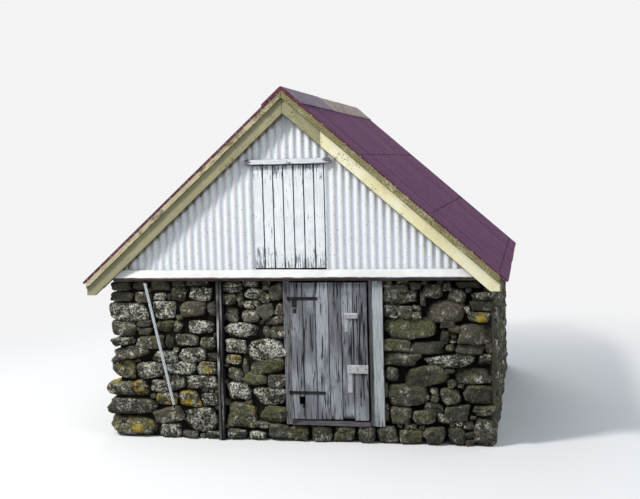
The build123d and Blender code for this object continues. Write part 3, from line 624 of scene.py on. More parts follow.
# The caps' valley tone colours only the strips under their edges: painted shade.
cap_paint = iron_finish(
    "faded_cap_iron", (84, 67, 93), (96, 78, 102), (22, 17, 22), verge=maroon_verge, fall=down_slope,
    rust=.08, streak=.3, gloss=.6, stains=(68, 54, 70))
tan_paint = iron_finish(
    "tan_cap_iron", (132, 112, 103), (154, 134, 122), (26, 20, 21), verge=maroon_verge, fall=down_slope,
    rust=.14, streak=.4, gloss=.6, stains=(92, 74, 80))
# The gable's valleys are painted paler and bluer than its crests: painted sky light on the waves' shaded
# flanks.
gable_paint = iron_finish(
    "white_iron", (229, 229, 229), (223, 224, 226), (231, 238, 245), fall=(1, 1, .06), rust=.03, streak=.10,
    rake_rust=.21, gloss=.5, dirt=.75)
dark_iron = plain_finish("dark_iron", (26, 25, 28), (50, 45, 46), 60, roughness=.8, specular=.15)
nail_iron = plain_finish("nail_heads", (34, 28, 32), (56, 46, 48), 90, roughness=.7, specular=.2)
pale_nail = plain_finish("pale_nail_heads", (172, 150, 136), (212, 198, 176), 90, roughness=.6)
latch_metal = plain_finish("latch_metal", (156, 158, 160), (196, 198, 199), 50, metallic=.15, roughness=.5)
rope_fibre = rope_finish()


# Stones
def cube_grid(cells):
    """Directions over a ball: the grids of a cube's six sides, with shared edges merged."""
    t = np.tan(np.linspace(-1, 1, cells + 1) * pi / 4)
    a, b = np.meshgrid(t, t, indexing="ij")
    one = np.ones_like(a)
    sides = [(one, a, b), (-one, b, a), (b, one, a), (a, -one, b), (a, b, one), (b, a, -one)]
    points = np.vstack([np.stack(side, -1).reshape(-1, 3) for side in sides])
    quads = np.vstack([grid_quads(cells + 1, cells + 1) + k * (cells + 1) ** 2 for k in range(6)])
    merged, number = np.unique(points.round(6), axis=0, return_inverse=True)
    return merged / np.linalg.norm(merged, axis=1, keepdims=True), number.reshape(-1)[quads]


# Looks of a stone: share of pale crust, gold lichen, moss, warm brown, and its brightness
stone_kinds = {"d": (.05, 0, .05, .2, .60), "g": (.35, 0, .35, .15, .80), "w": (.78, .05, .15, .12, 1.02),
               "y": (.45, .74, .50, .3, .86), "o": (.35, .15, .80, .3, .80), "b": (.30, .05, .1, .9, .84)}
batter = (abs(left_foot) - abs(left_top)) / wall_top


def behind_face(points):
    """How deep a place lies behind the nearest outside face, for painted shade: nought on it, one at 12 cm.
    """
    x, y, z = points[..., 0], points[..., 1], points[..., 2]
    depth = np.minimum.reduce([x - left_foot - batter * z, right_face - x, y - wall_front, -wall_front - y])
    return np.clip(depth / .12, 0, 1)


def waves_over(rng, where, rate, count):
    """Sum of sines with random directions over places given as items x points x 3."""
    turn = rng.uniform(0, 2 * pi, (len(where), count))
    waves = rng.normal(0, rate, (len(where), count, 3))
    return np.sin(np.einsum("nvk,nmk->nvm", where, waves) + turn[:, None]).sum(2) / count ** .5


def stone_arrays(seed, cells, centre, along, out, size, kinds, rounds, tilts):
    """Stones as arrays. In direction d a stone reaches r = (sum of (d.n/h)^p)^(-1/p) over the planes of a
    skewed box and some random planes n at distance h, which break its corners; p sets how sharp its edges
    are. Sines in d and in the stone's own metres add lumps. It is stretched to its size, turned by its tilt
    and kept above the ground, and how far each point lies behind its face is kept for painted shade."""
    rng = np.random.default_rng(seed)
    dirs, quads = cube_grid(cells)
    count = len(centre)
    rounds = np.asarray(rounds, float)[:, None]
    box = np.vstack([np.eye(3), -np.eye(3)]) + rng.normal(0, 1, (count, 6, 3)) * [.09, .05, .12]
    chips = rng.normal(size=(count, 12, 3))
    chips /= np.linalg.norm(chips, axis=2, keepdims=True)
    share = rng.uniform(.30, .95, (count, 12)) * np.where(rounds > .5, .45, 1)
    height = np.concatenate([np.ones((count, 6)), 1 + (np.abs(chips).sum(2) - 1) * share], 1)
    normals = np.concatenate([box / np.linalg.norm(box, axis=2, keepdims=True), chips], 1)
    power = np.where(rounds > .5, rng.uniform(5, 8, (count, 1)), rng.uniform(12, 24, (count, 1)))[..., None]
    dots = np.maximum(np.einsum("vk,nmk->nvm", dirs, normals), 1e-6) / height[:, None]
    radius = (dots ** power).sum(2) ** (-1 / power[..., 0])
    everywhere = np.broadcast_to(dirs, (count, *dirs.shape))
    for rate, amount in ((2.4, .05), (5.5, .032), (11, .016)):
        radius *= 1 + amount * waves_over(rng, everywhere, rate, 5)
    shape = dirs * radius[..., None]
    most = np.where(shape > 0, shape.max(1, keepdims=True), -shape.min(1, keepdims=True))
    shape = shape / most * size[:, None]
    relief = .0040 * waves_over(rng, shape, 55, 6) + .0022 * waves_over(rng, shape, 120, 5)
    shape = shape + dirs * relief[..., None]
    tilt = np.radians(np.asarray(tilts, float))[:, None]
    a = shape[..., 0] * np.cos(tilt) + shape[..., 2] * np.sin(tilt)
    c = -shape[..., 0] * np.sin(tilt) + shape[..., 2] * np.cos(tilt)
    points = (centre[:, None] + a[..., None] * np.array(along, float) + shape[..., 1:2] * np.array(out, float)
              + c[..., None] * np.array([0, 0, 1.]))
    points[..., 2] = np.maximum(points[..., 2], .001)
    # How far a point lies behind the stone's front, for painted shade on its sides and back.
    inward = np.clip(.5 - shape[..., 1] / size[:, None, 1] / 2, 0, 1) * size[:, None, 1] / .06
    look = np.array([stone_kinds[kind] for kind in kinds]) * rng.uniform(.82, 1.15, (count, 5))
    values = {key: np.broadcast_to(look[:, k, None], radius.shape)
              for k, key in enumerate(("pale", "gold", "moss", "warm", "shade"))}
    values |= {"seed": np.broadcast_to(rng.random((count, 1)), radius.shape), "inward": inward}
    return points, outward(points, quads), values


# The front's stones in centimetres, from the top down: x, z, width, height, look with form (1 for a block, 2
# for a round one), and tilt in degrees
left_rows = """
-172 152 20 10 d1 0 | -153 153 17 8 d1 0 | -131 153 20 10 d1 0 | -113 155 13 5 g1 0 | -93 155 27 5 g1 2
-172 142 23 9 d1 0 | -150 141 18 11 b1 2 | -133 142 14 8 w1 0 | -123 142 6 8 d2 0 | -113 145 16 16 g2 0
-90 145 25 14 w1 -1
-165 127 42 18 w1 0 | -128 129 23 17 w1 0 | -99 130 27 16 b1 -5 | -80 130 11 17 d2 -8
-171 110 26 16 g1 0 | -150 115 16 6 d1 0 | -150 107 16 8 d1 0 | -130 112 21 14 o2 4 | -115 112 9 11 y2 15
-91 112 30 16 w2 -3
-171 97 23 9 w1 -10 | -144 96 31 15 g1 0 | -124 96 9 16 d1 0 | -107 99 25 12 y1 4 | -85 95 18 16 g2 -4
-164 86 43 13 b1 -14 | -129 82 27 11 w1 0 | -100 84 30 15 w1 -2 | -80 82 11 9 d1 0
-173 70 25 20 y1 6 | -146 68 29 17 w2 3 | -114 71 34 13 w1 -3 | -86 71 21 13 y1 -3
-168 49 43 18 y1 -2 | -134 52 21 12 w1 2 | -117 56 16 16 g1 3 | -92 57 34 13 w1 -2
-165 31 50 17 g1 1 | -129 39 22 14 y1 3 | -106 40 25 19 y2 -6 | -84 40 19 13 w1 -4
-166 12 52 22 y2 1 | -129 23 33 15 b1 -10 | -94 19 38 25 w2 -3
-127 8 26 15 w1 2 | -106 4 18 8 g1 0 | -82 4 15 7 g1 2"""
middle_rows = """
-58 154 20 6 w2 0 | -39 155 17 5 w1 6 | -24 155 9 5 g2 0 | -58 149 20 6 w1 2 | -36 145 19 13 w2 10
-14 146 16 18 d1 -12 | -26 141 13 10 g1 28
-62 139 15 12 g2 0 | -50 139 7 16 g2 -8 | -38 134 19 9 w2 -4
-60 125 17 16 g2 4 | -41 123 19 13 b2 -4 | -24 128 18 15 d1 -30 | -11 129 11 14 g2 0 | -16 119 20 8 b1 -4
-50 109 37 15 w2 3 | -24 108 10 14 d1 0 | -13 107 15 14 g1 0
-56 93 22 14 w1 0 | -26 90 42 22 w2 -14
-59 80 17 10 y1 2 | -47 74 7 19 g2 0 | -25 74 37 17 o2 -8
-58 66 19 13 g2 12 | -38 61 28 15 o2 6 | -14 59 22 12 g1 0
-54 49 26 19 w2 0 | -24 44 34 19 w2 3 | -45 38 8 5 g2 0
-51 25 32 26 y2 8 | -19 26 29 19 o2 -3 | -32 15 17 8 g2 3
-58 6 20 12 g1 0 | -38 5 19 9 w2 2 | -14 9 24 16 g1 -2"""
right_rows = """
102 150 25 7 b1 5 | 121 152 12 7 d1 0 | 137 147 19 14 b2 0 | 150 151 9 8 g2 -10 | 170 153 24 6 d1 0
107 142 37 14 g1 1 | 128 140 5 15 d1 0 | 159 143 18 13 g2 4 | 182 142 24 10 w2 -4
98 129 18 18 w2 14 | 111 127 14 13 b1 -4 | 122 131 9 6 g2 0 | 122 124 9 8 b1 0 | 148 129 41 23 b2 -4
170 129 6 10 w2 -20 | 183 133 23 10 d1 0 | 180 123 25 9 y1 3
116 112 53 22 o1 -2 | 151 116 14 6 d1 0 | 157 111 13 7 b2 4 | 148 103 10 13 g2 20 | 177 107 35 20 b1 -2
102 95 27 13 o1 3 | 130 93 38 12 d1 -2 | 153 93 10 7 b2 -14 | 172 92 30 11 d1 0 | 190 93 9 11 b1 0
107 82 38 13 g1 -2 | 152 80 47 14 w2 -5 | 185 82 20 12 g1 -3
97 67 14 15 g2 10 | 130 66 46 21 o2 -12 | 151 71 11 4 b1 -4 | 154 60 11 8 g2 -10 | 175 67 40 17 g1 2
90 52 7 17 b2 4 | 112 46 42 26 g2 -6 | 137 51 9 8 b2 0 | 137 44 8 7 g2 20 | 152 47 20 16 o2 4
179 49 30 18 g1 1 | 137 36 18 10 g2 10
90 30 8 20 g2 0 | 105 28 20 18 o1 0 | 128 26 25 15 o2 -8 | 145 26 12 12 g2 0 | 158 31 25 16 g1 -3
183 34 23 11 o1 -2
92 9 20 17 g1 0 | 114 8 24 15 o1 2 | 137 9 21 16 g1 -2 | 157 10 20 18 g2 3 | 184 14 22 27 g1 2"""
threshold_rows = "4 8 21 16 o1 0 | 27 8 23 16 g1 1 | 50 8 22 16 o1 -1 | 72 8 18 16 g1 0"
front_cells = 11
corner_depths = (.36, .25)


def corner_depth(z):
    """Depth of a corner stone: long and short ones take turns up the corner, every sixth of a metre."""
    return np.where((np.asarray(z) * 6).astype(int) % 2 == 0, *corner_depths)


def read_rows(rows):
    """The listed stones: sizes in metres, looks, 1 where a stone is round, and tilts."""
    items = [item.split() for line in rows.strip().split("\n") for item in line.split("|")]
    sizes = np.array([[float(number) / 100 for number in item[:4]] for item in items])
    rounds = [float(item[4][1] == "2") for item in items]
    return sizes, [item[4][0] for item in items], rounds, [float(item[5]) for item in items]


def chinks(sizes, low, high):
    """Small stones for the gaps. Over a 12 mm grid, a place's room is how far it lies outside the nearest
    stone, taken as a box rounded by the fourth power. The place with most room takes a stone, again and
    again, until no place has over 15 mm or there are 45 stones."""
    x, z = np.meshgrid(np.arange(low[0], high[0], .012), np.arange(low[1], high[1], .012))

    def room_beside(stone):
        across, up = np.abs(x - stone[0]) / stone[2], np.abs(z - stone[1]) / stone[3]
        reach = ((2 * across) ** 4 + (2 * up) ** 4) ** .25
        return (reach - 1) * min(stone[2:]) / 2

    room = np.min([room_beside(stone) for stone in sizes], axis=0)
    found = []
    while room.max() > .015 and len(found) < 45:
        at = np.unravel_index(room.argmax(), room.shape)
        found.append((x[at], z[at], 3.2 * room[at], 2.3 * room[at]))
        room = np.minimum(room, room_beside(found[-1]))
    return np.array(found)


def front_stones(rows, seed, span=None, darker=1.0):
    """The listed stones and chinks between them, set a little in and out of the face. Stones at the corners
    run deeper, and chinks are set back."""
    rng = np.random.default_rng(seed)
    sizes, kinds, rounds, tilts = read_rows(rows)
    if span is not None:
        small = chinks(sizes, (span[0], .03), (span[1], 1.56))
        sizes = np.vstack([sizes, small])
        kinds += list(rng.choice(list("dgwb"), len(small), p=[.4, .3, .1, .2]))
        rounds += [0.] * len(small)
        tilts += list(rng.normal(0, 14, len(small)))
    x, z, width, height = sizes.T
    # Stones at the left corner reach on to the leaning face
    further = np.where(x - width / 2 < -1.79, .028, 0)
    x, width = x - further / 2, width + further
    deep = rng.uniform(.17, .24, len(x))
    corner = (x - width / 2 < left_top) | (x + width / 2 > 1.90)
    deep = np.where(corner, corner_depth(z), deep)
    proud = rng.uniform(-.006, .012, len(x)) - np.where(width < .12, .012, 0)
    centre = np.stack([x, wall_front - proud + deep / 2, z], 1)
    half = np.stack([width / 2 + .004, deep / 2, height / 2 + .004], 1)
    points, quads, values = stone_arrays(seed, front_cells, centre, (1, 0, 0), (0, -1, 0), half, kinds,
                                         rounds, tilts)
    # Depth behind the wall's face sets the painted shade in the joints.
    return points, quads, values | {"shade": values["shade"] * darker, "pale": values["pale"] * darker,
                                    "inward": behind_face(points)}


def course_rows(rng, levels, starts, stops, most):
    """Irregular courses as rows of left, right, foot and top of each stone's face. Pairs of courses are cut
    into stretches. Some hold one large stone and the others a few small ones, and a few of those are
    halved."""
    found = []
    bands = list(zip(levels[:-1], levels[1:]))
    for k in range(0, len(bands), 2):
        pair = bands[k:k + 2]
        low, high = max(starts[k:k + 2]), min(stops[k:k + 2])
        count = max(2, round((high - low) / .52))
        cuts = np.linspace(low, high, count + 1)
        cuts[1:-1] += rng.uniform(-.1, .1, count - 1)
        tall = pair[-1][1] - pair[0][0]
        for n in range(count):
            inside = len(pair) == 2 and tall < .40 and cuts[n + 1] - cuts[n] < .6 and 0 < n < count - 1
            if inside and rng.random() < .22:
                found.append((cuts[n], cuts[n + 1], pair[0][0], pair[1][1]))
                continue
            for band, start, stop in zip(pair, starts[k:k + 2], stops[k:k + 2]):
                one = start if n == 0 else cuts[n]
                two = stop if n == count - 1 else cuts[n + 1]
                parts = max(1, round((two - one) / rng.uniform(.15, most)))
                inner = np.linspace(one, two, parts + 1)
                inner[1:-1] += rng.uniform(-.25, .25, parts - 1) * (two - one) / parts
                for left, right in zip(inner[:-1], inner[1:]):
                    split = band[1] - band[0] > .14 and right - left < .26 and rng.random() < .18
                    middle = band[0] + (band[1] - band[0]) * rng.uniform(.4, .6)
                    ends = [band[0], middle, band[1]] if split else list(band)
                    found += [(left, right, foot, top) for foot, top in zip(ends[:-1], ends[1:])]
    return np.array(found)


def panel(seed, cells, levels, starts, stops, origin, along, out, lean=0, deep=(.17, .23), gold=.10, most=.36,
          outside=True):
    """A laid face of stones: middle = origin + place along the wall + height, less the lean times the height,
    and a slow wave bends the rows. Where the stones may be thick, those at both ends are quoins, thickest."""
    rng = np.random.default_rng(seed)
    left, right, foot, top = course_rows(rng, levels, starts, stops, most).T
    place, z = (left + right) / 2, (foot + top) / 2
    z = z + .012 * np.sin(place * 2.3 + seed) * np.sin(pi * z / levels[-1])
    thick = rng.uniform(*deep, len(place))
    quoin = ((left - left.min() < .1) | (right.max() - right < .1)) & (deep[1] > .3)
    thick = np.where(quoin, max(corner_depths), thick)
    proud = rng.uniform(-.006, .012, len(place))
    along, out = np.array(along, float), np.array(out, float)
    centre = (np.array(origin) + place[:, None] * along + (proud - thick / 2 - lean * z)[:, None] * out
              + z[:, None] * np.array([0, 0, 1.]))
    half = np.stack([(right - left) / 2 + .003, thick / 2, (top - foot) / 2 + .003], 1)
    likely = [.16, .30, .24 - gold / 2, gold, .18 - gold / 2, .12]
    kinds = rng.choice(list("dgwyob"), len(place), p=likely)
    rounds = (rng.random(len(place)) < .4).astype(float)
    tilts = rng.normal(0, 3.0, len(place))
    points, quads, values = stone_arrays(seed + 1, cells, centre, along, out, half, kinds, rounds, tilts)
    # Depth behind the wall's face sets the painted shade in the joints.
    if outside:
        values["inward"] = behind_face(points)
    return points, quads, values


# Heights of the courses' joints in each wall
left_levels = [0, .227, .397, .585, .80, .93, 1.017, 1.177, 1.36, 1.465, 1.572]
right_levels = [0, .14, .288, .40, .582, .754, .88, .972, 1.18, 1.279, 1.378, 1.47]
back_levels = [0, .20, .37, .56, .72, .87, 1.00, 1.16, 1.33, 1.45, 1.572]
room_levels = [0, .19, .36, .53, .70, .88, 1.05, 1.22, 1.40, 1.572]


def corner_starts(levels):
    """Where each course of a side wall starts behind the corner stones."""
    middles = (np.array(levels[:-1]) + np.array(levels[1:])) / 2
    return wall_front + corner_depth(middles) - .01


def laid(name, group, *stands_for):
    """One piece of laid stones, which stands for the plain walls that it covers."""
    return put_joined(name, [group], stone, "dry_stone", stands_for=stands_for)


laid("front_stones_left", front_stones(left_rows, 11, span=(-1.78, -.755)), "front_wall_left")
laid("front_stones_middle", front_stones(middle_rows, 13, span=(-.67, -.085)), "front_wall_middle")
laid("front_stones_right", front_stones(right_rows, 15, span=(.90, 1.88), darker=.86), "front_wall_right")
# The threshold stones are a little darker: painted shade under the sill.
laid("threshold_stones", front_stones(threshold_rows, 17, darker=.9), "door_foundation")
left_start = corner_starts(left_levels)
right_start = corner_starts(right_levels)
laid("left_stones", panel(21, 8, left_levels, left_start, -left_start, (left_foot, 0, 0), (0, -1, 0),
                          (-1, 0, 0), lean=batter), "left_wall")
laid("right_stones", panel(22, 8, right_levels, right_start, -right_start, (right_face, 0, 0), (0, 1, 0),
                           (1, 0, 0)), "right_wall")
# At the back the courses lean in at the left corner, and the top two stop short at the right one
back_left = -1.875 + .05 * np.array(back_levels[:-1])
back_right = np.full(len(back_levels) - 1, 1.948)
back_right[-2:] = 1.90, 1.80
laid("back_stones", panel(23, 7, back_levels, -back_right, -back_left, (0, -wall_front, 0), (-1, 0, 0),
                          (0, 1, 0), deep=(.18, .31)), "back_wall")


def room_panel(seed, start, stop, origin, along, out):
    """Smaller-gridded stones for a face inside the house or in the doorway."""
    courses = len(room_levels) - 1
    return panel(seed, 4, room_levels, np.full(courses, start), np.full(courses, stop), origin, along, out,
                 deep=(.11, .15), gold=.02, most=.44, outside=False)


put_joined("room_stones", [
    room_panel(31, -1.28, -.10, (0, wall_inner, 0), (1, 0, 0), (0, 1, 0)),
    room_panel(32, .83, 1.44, (0, wall_inner, 0), (1, 0, 0), (0, 1, 0)),
    room_panel(33, -1.28, 1.44, (0, -wall_inner, 0), (1, 0, 0), (0, -1, 0)),
    room_panel(34, -1.50, 1.50, (left_top + wall_thickness, 0, 0), (0, 1, 0), (1, 0, 0)),
    room_panel(35, -1.50, 1.50, (right_face - wall_thickness, 0, 0), (0, 1, 0), (-1, 0, 0)),
    room_panel(36, -1.89, -1.53, (doorway_left, 0, 0), (0, 1, 0), (1, 0, 0)),
    room_panel(37, -1.89, -1.53, (doorway_right, 0, 0), (0, 1, 0), (-1, 0, 0))], stone, "dry_stone")

# Rubble in the heart of the walls, seen in the joints: start, run, width and thickness of each block
sunk = .060
heart = wall_inner - wall_front - 2 * sunk
middle_y = (wall_front + wall_inner) / 2
side_thick = .38
left_middle = (left_foot + left_top) / 2 + sunk + side_thick / 2
right_middle = right_face - sunk - side_thick / 2
hearts = [((-1.79, middle_y, .785), (1.04, 0, 0), (0, 0, 1.55), (0, heart, 0)),
          ((-.675, middle_y, .785), (.59, 0, 0), (0, 0, 1.55), (0, heart, 0)),
          ((.84, middle_y + .02, .765), (1.04, 0, 0), (0, 0, 1.43), (0, heart - .04, 0)),
          ((-.10, middle_y, .085), (.94, 0, 0), (0, 0, .140), (0, heart, 0)),
          ((-1.80, -middle_y, .74), (3.69, 0, 0), (0, 0, 1.38), (0, heart, 0)),
          ((left_middle, -1.90, .785), (0, 3.8, 0), (left_top - left_foot, 0, 1.55), (side_thick, 0, 0)),
          ((right_middle, -1.90, .730), (0, 3.8, 0), (0, 0, 1.40), (side_thick, 0, 0))]
boards("wall_rubble", shaded_rubble, "dry_stone", 41, *zip(*hearts), bevel=.03, wander=.004, columns=20, stations=40,
       lumps=.012)

# House timber
beam_width = .120
beam_depth = plate_top - wall_top
beam_middle = (wall_top + plate_top) / 2
plate_width = .100
joist_length, joist_width, joist_depth = 3.38, .060, .100
half_floor = -wall_front - beam_width
joist_y = np.linspace(-half_floor + joist_width / 2, half_floor - joist_width / 2, 6)
floor_boards = 18
floor_gap, floor_thick = .004, .022
floor_pitch = (joist_length - 2 * .030) / floor_boards
floor_x = floor_pitch * (np.arange(floor_boards) - (floor_boards - 1) / 2)
plate_x = plate_outer - plate_width / 2
beam_y = wall_front + beam_width / 2
for name, seed, start, along, across, out in (
        ("front_beam", 51, [(-plate_outer, beam_y, beam_middle)], (2 * plate_outer, 0, 0),
         (0, 0, beam_depth), (0, -beam_width, 0)),
        ("back_beam", 52, [(-plate_outer, -beam_y, beam_middle)], (2 * plate_outer, 0, 0),
         (0, 0, beam_depth), (0, beam_width, 0)),
        ("wall_plates", 53, [(x, -half_floor, beam_middle) for x in (-plate_x, plate_x)],
         (0, 2 * half_floor, 0), (plate_width, 0, 0), (0, 0, beam_depth)),
        ("loft_joists", 54, [(-joist_length / 2, y, wall_top + joist_depth / 2) for y in joist_y],
         (joist_length, 0, 0), (0, joist_width, 0), (0, 0, joist_depth)),
        ("loft_floor", 55, [(x, -half_floor, wall_top + joist_depth + floor_thick / 2) for x in floor_x],
         (0, 2 * half_floor, 0), (floor_pitch - floor_gap, 0, 0), (0, 0, floor_thick))):
    boards(name + "_timber", house_timber, "roof_timber", seed, start, along, across, out, stands_for=(name,))


def give(names, finish):
    """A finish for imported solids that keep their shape."""
    for name in names:
        cad_nodes[name].data.materials.clear()
        cad_nodes[name].data.materials.append(finish)


give(("rafters", "ridge_board", "gable_posts", "hatch_ledges"), frame_timber)
give(("strap_hinges", "hinge_pintles", "tie_down_eyes"), dark_iron)


def slope_point(side, s, y, n):
    """Point of one slope: s down the slope from the apex and n above the purlin tops."""
    return np.stack(np.broadcast_arrays(side * (s * slope_cos + n * slope_sin), y,
                                        roof_apex - s * slope_sin + n * slope_cos), -1)


rows = [(side, s) for side in (-1, 1) for s in purlin_rows]
boards("purlin_timber", house_timber, "roof_timber", 56,
       [slope_point(side, s, board_back, -purlin_thick / 2) for side, s in rows], (0, -2 * board_back, 0),
       [(side * purlin_width * slope_cos, 0, -purlin_width * slope_sin) for side, s in rows],
       [(side * purlin_thick * slope_sin, 0, purlin_thick * slope_cos) for side, s in rows],
       stands_for=("purlins",), stations=24)

# Roof iron
strip_waves = 8             # waves that one strip covers
flange_foot = -.0240        # the iron folded down over the verge ends this far below the purlin tops
short_flange_foot = -.0130
plate_foot = -.0080         # and the plates that close the ridge cap this far
nail_proud = .0015          # gap between the verge and the folded iron, where nail heads stand


def roof_wave(u):
    """Height of the roof wave at a distance from its first verge: half a wave's height times the sine."""
    return wave_half * np.sin(2 * pi * u / wave)


def roof_side(side):
    """Lapped strips of one slope: each a sine line, with its edge at a verge folded down, carried down the
    slope. The strips end a little unevenly at the eave, and slow dents run along their crests."""
    rng = np.random.default_rng(60 + side)
    groups = []
    s = np.hstack([np.linspace(sheet_start, sheet_end - .05, 12), sheet_end - .012, sheet_end - .0006])
    last = waves_along // strip_waves - 1
    edge = nail_proud + gauge / 2
    fold_foot = short_flange_foot if side > 0 else flange_foot
    fold = np.array([[edge, fold_foot], [edge, fold_foot / 2], [edge, -.0025], [edge + .0007, -.0004]])
    for strip in range(last + 1):
        level = wave_middle + lap_rise * (strip % 2)
        start = strip * strip_waves * wave
        stop = start + (strip_waves if strip == last else strip_waves + 1) * wave
        u = np.linspace(start, stop, round((stop - start) / wave) * 12 + 1)
        line = np.stack([u, roof_wave(u)], 1)
        low = .5 - line[:, 1] / (2 * wave_half)
        verge = 0 * u
        if strip == 0:
            line = np.vstack([fold + [start, 0], line[1:]])
            low, verge = np.hstack([[0] * 4, low[1:]]), np.hstack([[1] * 4, verge[1:]])
        if strip == last:
            line = np.vstack([line[:-1], (fold * [-1, 1] + [stop, 0])[::-1]])
            low, verge = np.hstack([low[:-1], [0] * 4]), np.hstack([verge[:-1], [1] * 4])
        dent = drift(rng, len(s), line[:, 0], 1.1) * .0006
        dent *= np.clip(line[:, 1] / .004 + 1, 0, 1)
        grids = []
        for sided in bent(line, gauge):
            trimmed = s[:, None] + 0 * sided[:, 0]
            trimmed[-1] -= .002 * (strip % 3)
            height = sided[:, 1] + level + dent
            grids.append(slope_point(side, trimmed, side * (sided[:, 0] + verge_y), height))
        groups.append(shell(*grids, valley=low, verge=verge))
    return groups


# Nails sit on crests that are two and three waves apart by turns, and higher on raised strips and their laps
crests = (np.arange(waves_along) + .25) * wave
strip_width = strip_waves * wave
raised = ((crests // strip_width) % 2 == 1) | ((crests % strip_width < wave) & (crests > wave))
nailed = np.cumsum(np.tile([2, 3], 11)) - 1
nail_rows = (.970, 1.820, 2.640)
for side, name in ((-1, "left"), (1, "right")):
    put_joined(f"roof_iron_{name}", roof_side(side), roof_paint, "maroon_iron",
               stands_for=(f"roof_sheets_{name}",), sharp=40)
    n = (wave_middle + wave_half + gauge / 2 + lap_rise * raised)[nailed]
    spots = np.vstack([slope_point(side, s, side * (crests[nailed] + verge_y), n) for s in nail_rows])
    nails(f"roof_nails_{name}", nail_iron, "maroon_iron", spots, (side * slope_sin, 0, slope_cos), .0115,
          .0050)


# Ridge cap
cap_foot = .235             # from the apex to the turned-down edge, along the slope
cap_base = sheet_rise + seat
cap_gauge = .0012


def ridge_cap(name, start, stop, base, finish, seed, comb, ripple=0, closed_at=None):
    """A folded length: wings at one height over the purlins, and a roll of 22 mm over the ridge. Below the
    wings' edges hang strips whose lower edge follows the roof wave, and a plate folded down closes a gable
    end. The wings may sink with the waves by a ripple."""
    rng = np.random.default_rng(seed)
    roll = .022
    peak = roof_apex + base / slope_cos
    turn = np.linspace(0, pitch, 5)
    arc = np.stack([roll * np.sin(turn), peak - roll / slope_cos + roll * np.cos(turn)], 1)
    wing = np.linspace(0, 1, 7)[1:, None]
    edge = slope_point(1, cap_foot, 0, base)[[0, 2]]
    half = np.vstack([arc, arc[-1] + wing * (edge - arc[-1])])
    line = np.vstack([(half * [-1, 1])[:0:-1], half])
    y = np.linspace(start, stop, round((stop - start) / (wave / 8)))
    over, under = bent(line, cap_gauge)
    if over[len(over) // 2, 1] < under[len(over) // 2, 1]:
        over, under = under, over
    dent = drift(rng, len(line), y, .9).T * .0012
    dent *= np.clip(np.abs(line[:, 0]) / .05, 0, 1) * np.clip((edge[0] - np.abs(line[:, 0])) / .03, 0, 1)
    dent -= ripple * (1 - np.sin(2 * pi * (y[:, None] - verge_y) / wave)) / 2
    grids = [np.stack([sided[:, 0] + 0 * dent, y[:, None] + 0 * dent, sided[:, 1] + cap_gauge / 2 + dent], -1)
             for sided in (over, under)]
    groups = [shell(*grids, valley=0, verge=0)]
    # Strips under the wings' edges: marked as valley, they take the near-black valley tone, painted shade
    # over the troughs.
    for side in (-1, 1):
        y = np.linspace(comb[0], comb[1], round((comb[1] - comb[0]) / wave * 12) + 1)
        low = wave_middle + lap_rise + gauge / 2 + seat + roof_wave(side * y - verge_y)
        n = np.stack([base + 0 * y, low])
        grids = [slope_point(side, cap_foot - back, y[None] + 0 * n, n) for back in (0, cap_gauge)]
        groups.append(shell(*grids, valley=1, verge=0))
    if closed_at is not None:
        foot = roof_apex - np.abs(line[:, 0]) * slope_tan + plate_foot / slope_cos
        rim = np.stack([line[:, 1] + .0004, foot])
        grids = [np.stack([line[:, 0] + 0 * rim, place + 0 * rim, rim], -1)
                 for place in (closed_at, closed_at - .0006 * np.sign(closed_at))]
        groups.append(shell(*grids, valley=0, verge=1))
    return put_joined(name, groups, finish, "maroon_iron", sharp=40)


first_joint, second_joint = verge_y + 1.650, verge_y + 2.820
lap = .030
front_cap = ridge_cap("ridge_cap_front", verge_y + .0010, first_joint + lap, cap_base + lap_rise, cap_paint,
                      71, (verge_y + .002, first_joint - lap - cap_gauge), closed_at=verge_y + .0008)
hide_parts("ridge_cap")
ridge_cap("ridge_cap_middle", first_joint - lap, second_joint + lap, cap_base, tan_paint, 72,
          (first_joint - lap, second_joint + lap), ripple=.002)
ridge_cap("ridge_cap_back", second_joint - lap, -verge_y - .0010, cap_base + lap_rise, tan_paint, 73,
          (second_joint + lap + cap_gauge, -verge_y - .002), ripple=.002, closed_at=-verge_y - .0008)
cap_y = np.arange(verge_y + .15, -verge_y, .38)
spots = np.vstack([slope_point(side, .200, cap_y, cap_base + cap_gauge) for side in (-1, 1)])
nails("ridge_cap_nails", nail_iron, "maroon_iron", spots, (0, 0, 1), .009, .003)


# Verge boards and bargeboards
rake_length = 2.6           # a rough length; the cuts at its ends set each board's own
foot_cut = .078             # height of the plumb cut left under the roof, above the level one


def rake(name, finish, seed, y, thickness, width, boards_on, stands_for=(), **shape):
    """Boards along the rake, with plumb ends at x where v = (x - n sin) / cos + a tan, and a level cut at the
    foot where it is asked for."""
    middle = -(seat + width / 2)
    groups = []
    for k, (side, low, high, cut) in enumerate(boards_on):
        def ends(a, low=low, high=high, cut=cut):
            first = (low - middle * slope_sin) / slope_cos + a * slope_tan
            last = (high - middle * slope_sin) / slope_cos + a * slope_tan
            if cut:
                level = roof_apex - high * slope_tan - (seat + width) / slope_cos + foot_cut
                last = np.minimum(last, (roof_apex + (middle - a) * slope_cos - level) / slope_sin)
            return first, last
        start = slope_point(side, 0, y, middle)
        along = (side * rake_length * slope_cos, 0, -rake_length * slope_sin)
        across = (-side * width * slope_sin, 0, -width * slope_cos)
        groups.append(board_arrays(seed + k, start, along, across, (0, -thickness, 0), ends=ends, stations=40,
                                   columns=12, **shape))
    return put_joined(name, groups, finish, "yellow_boards", stands_for=stands_for, sharp=38)


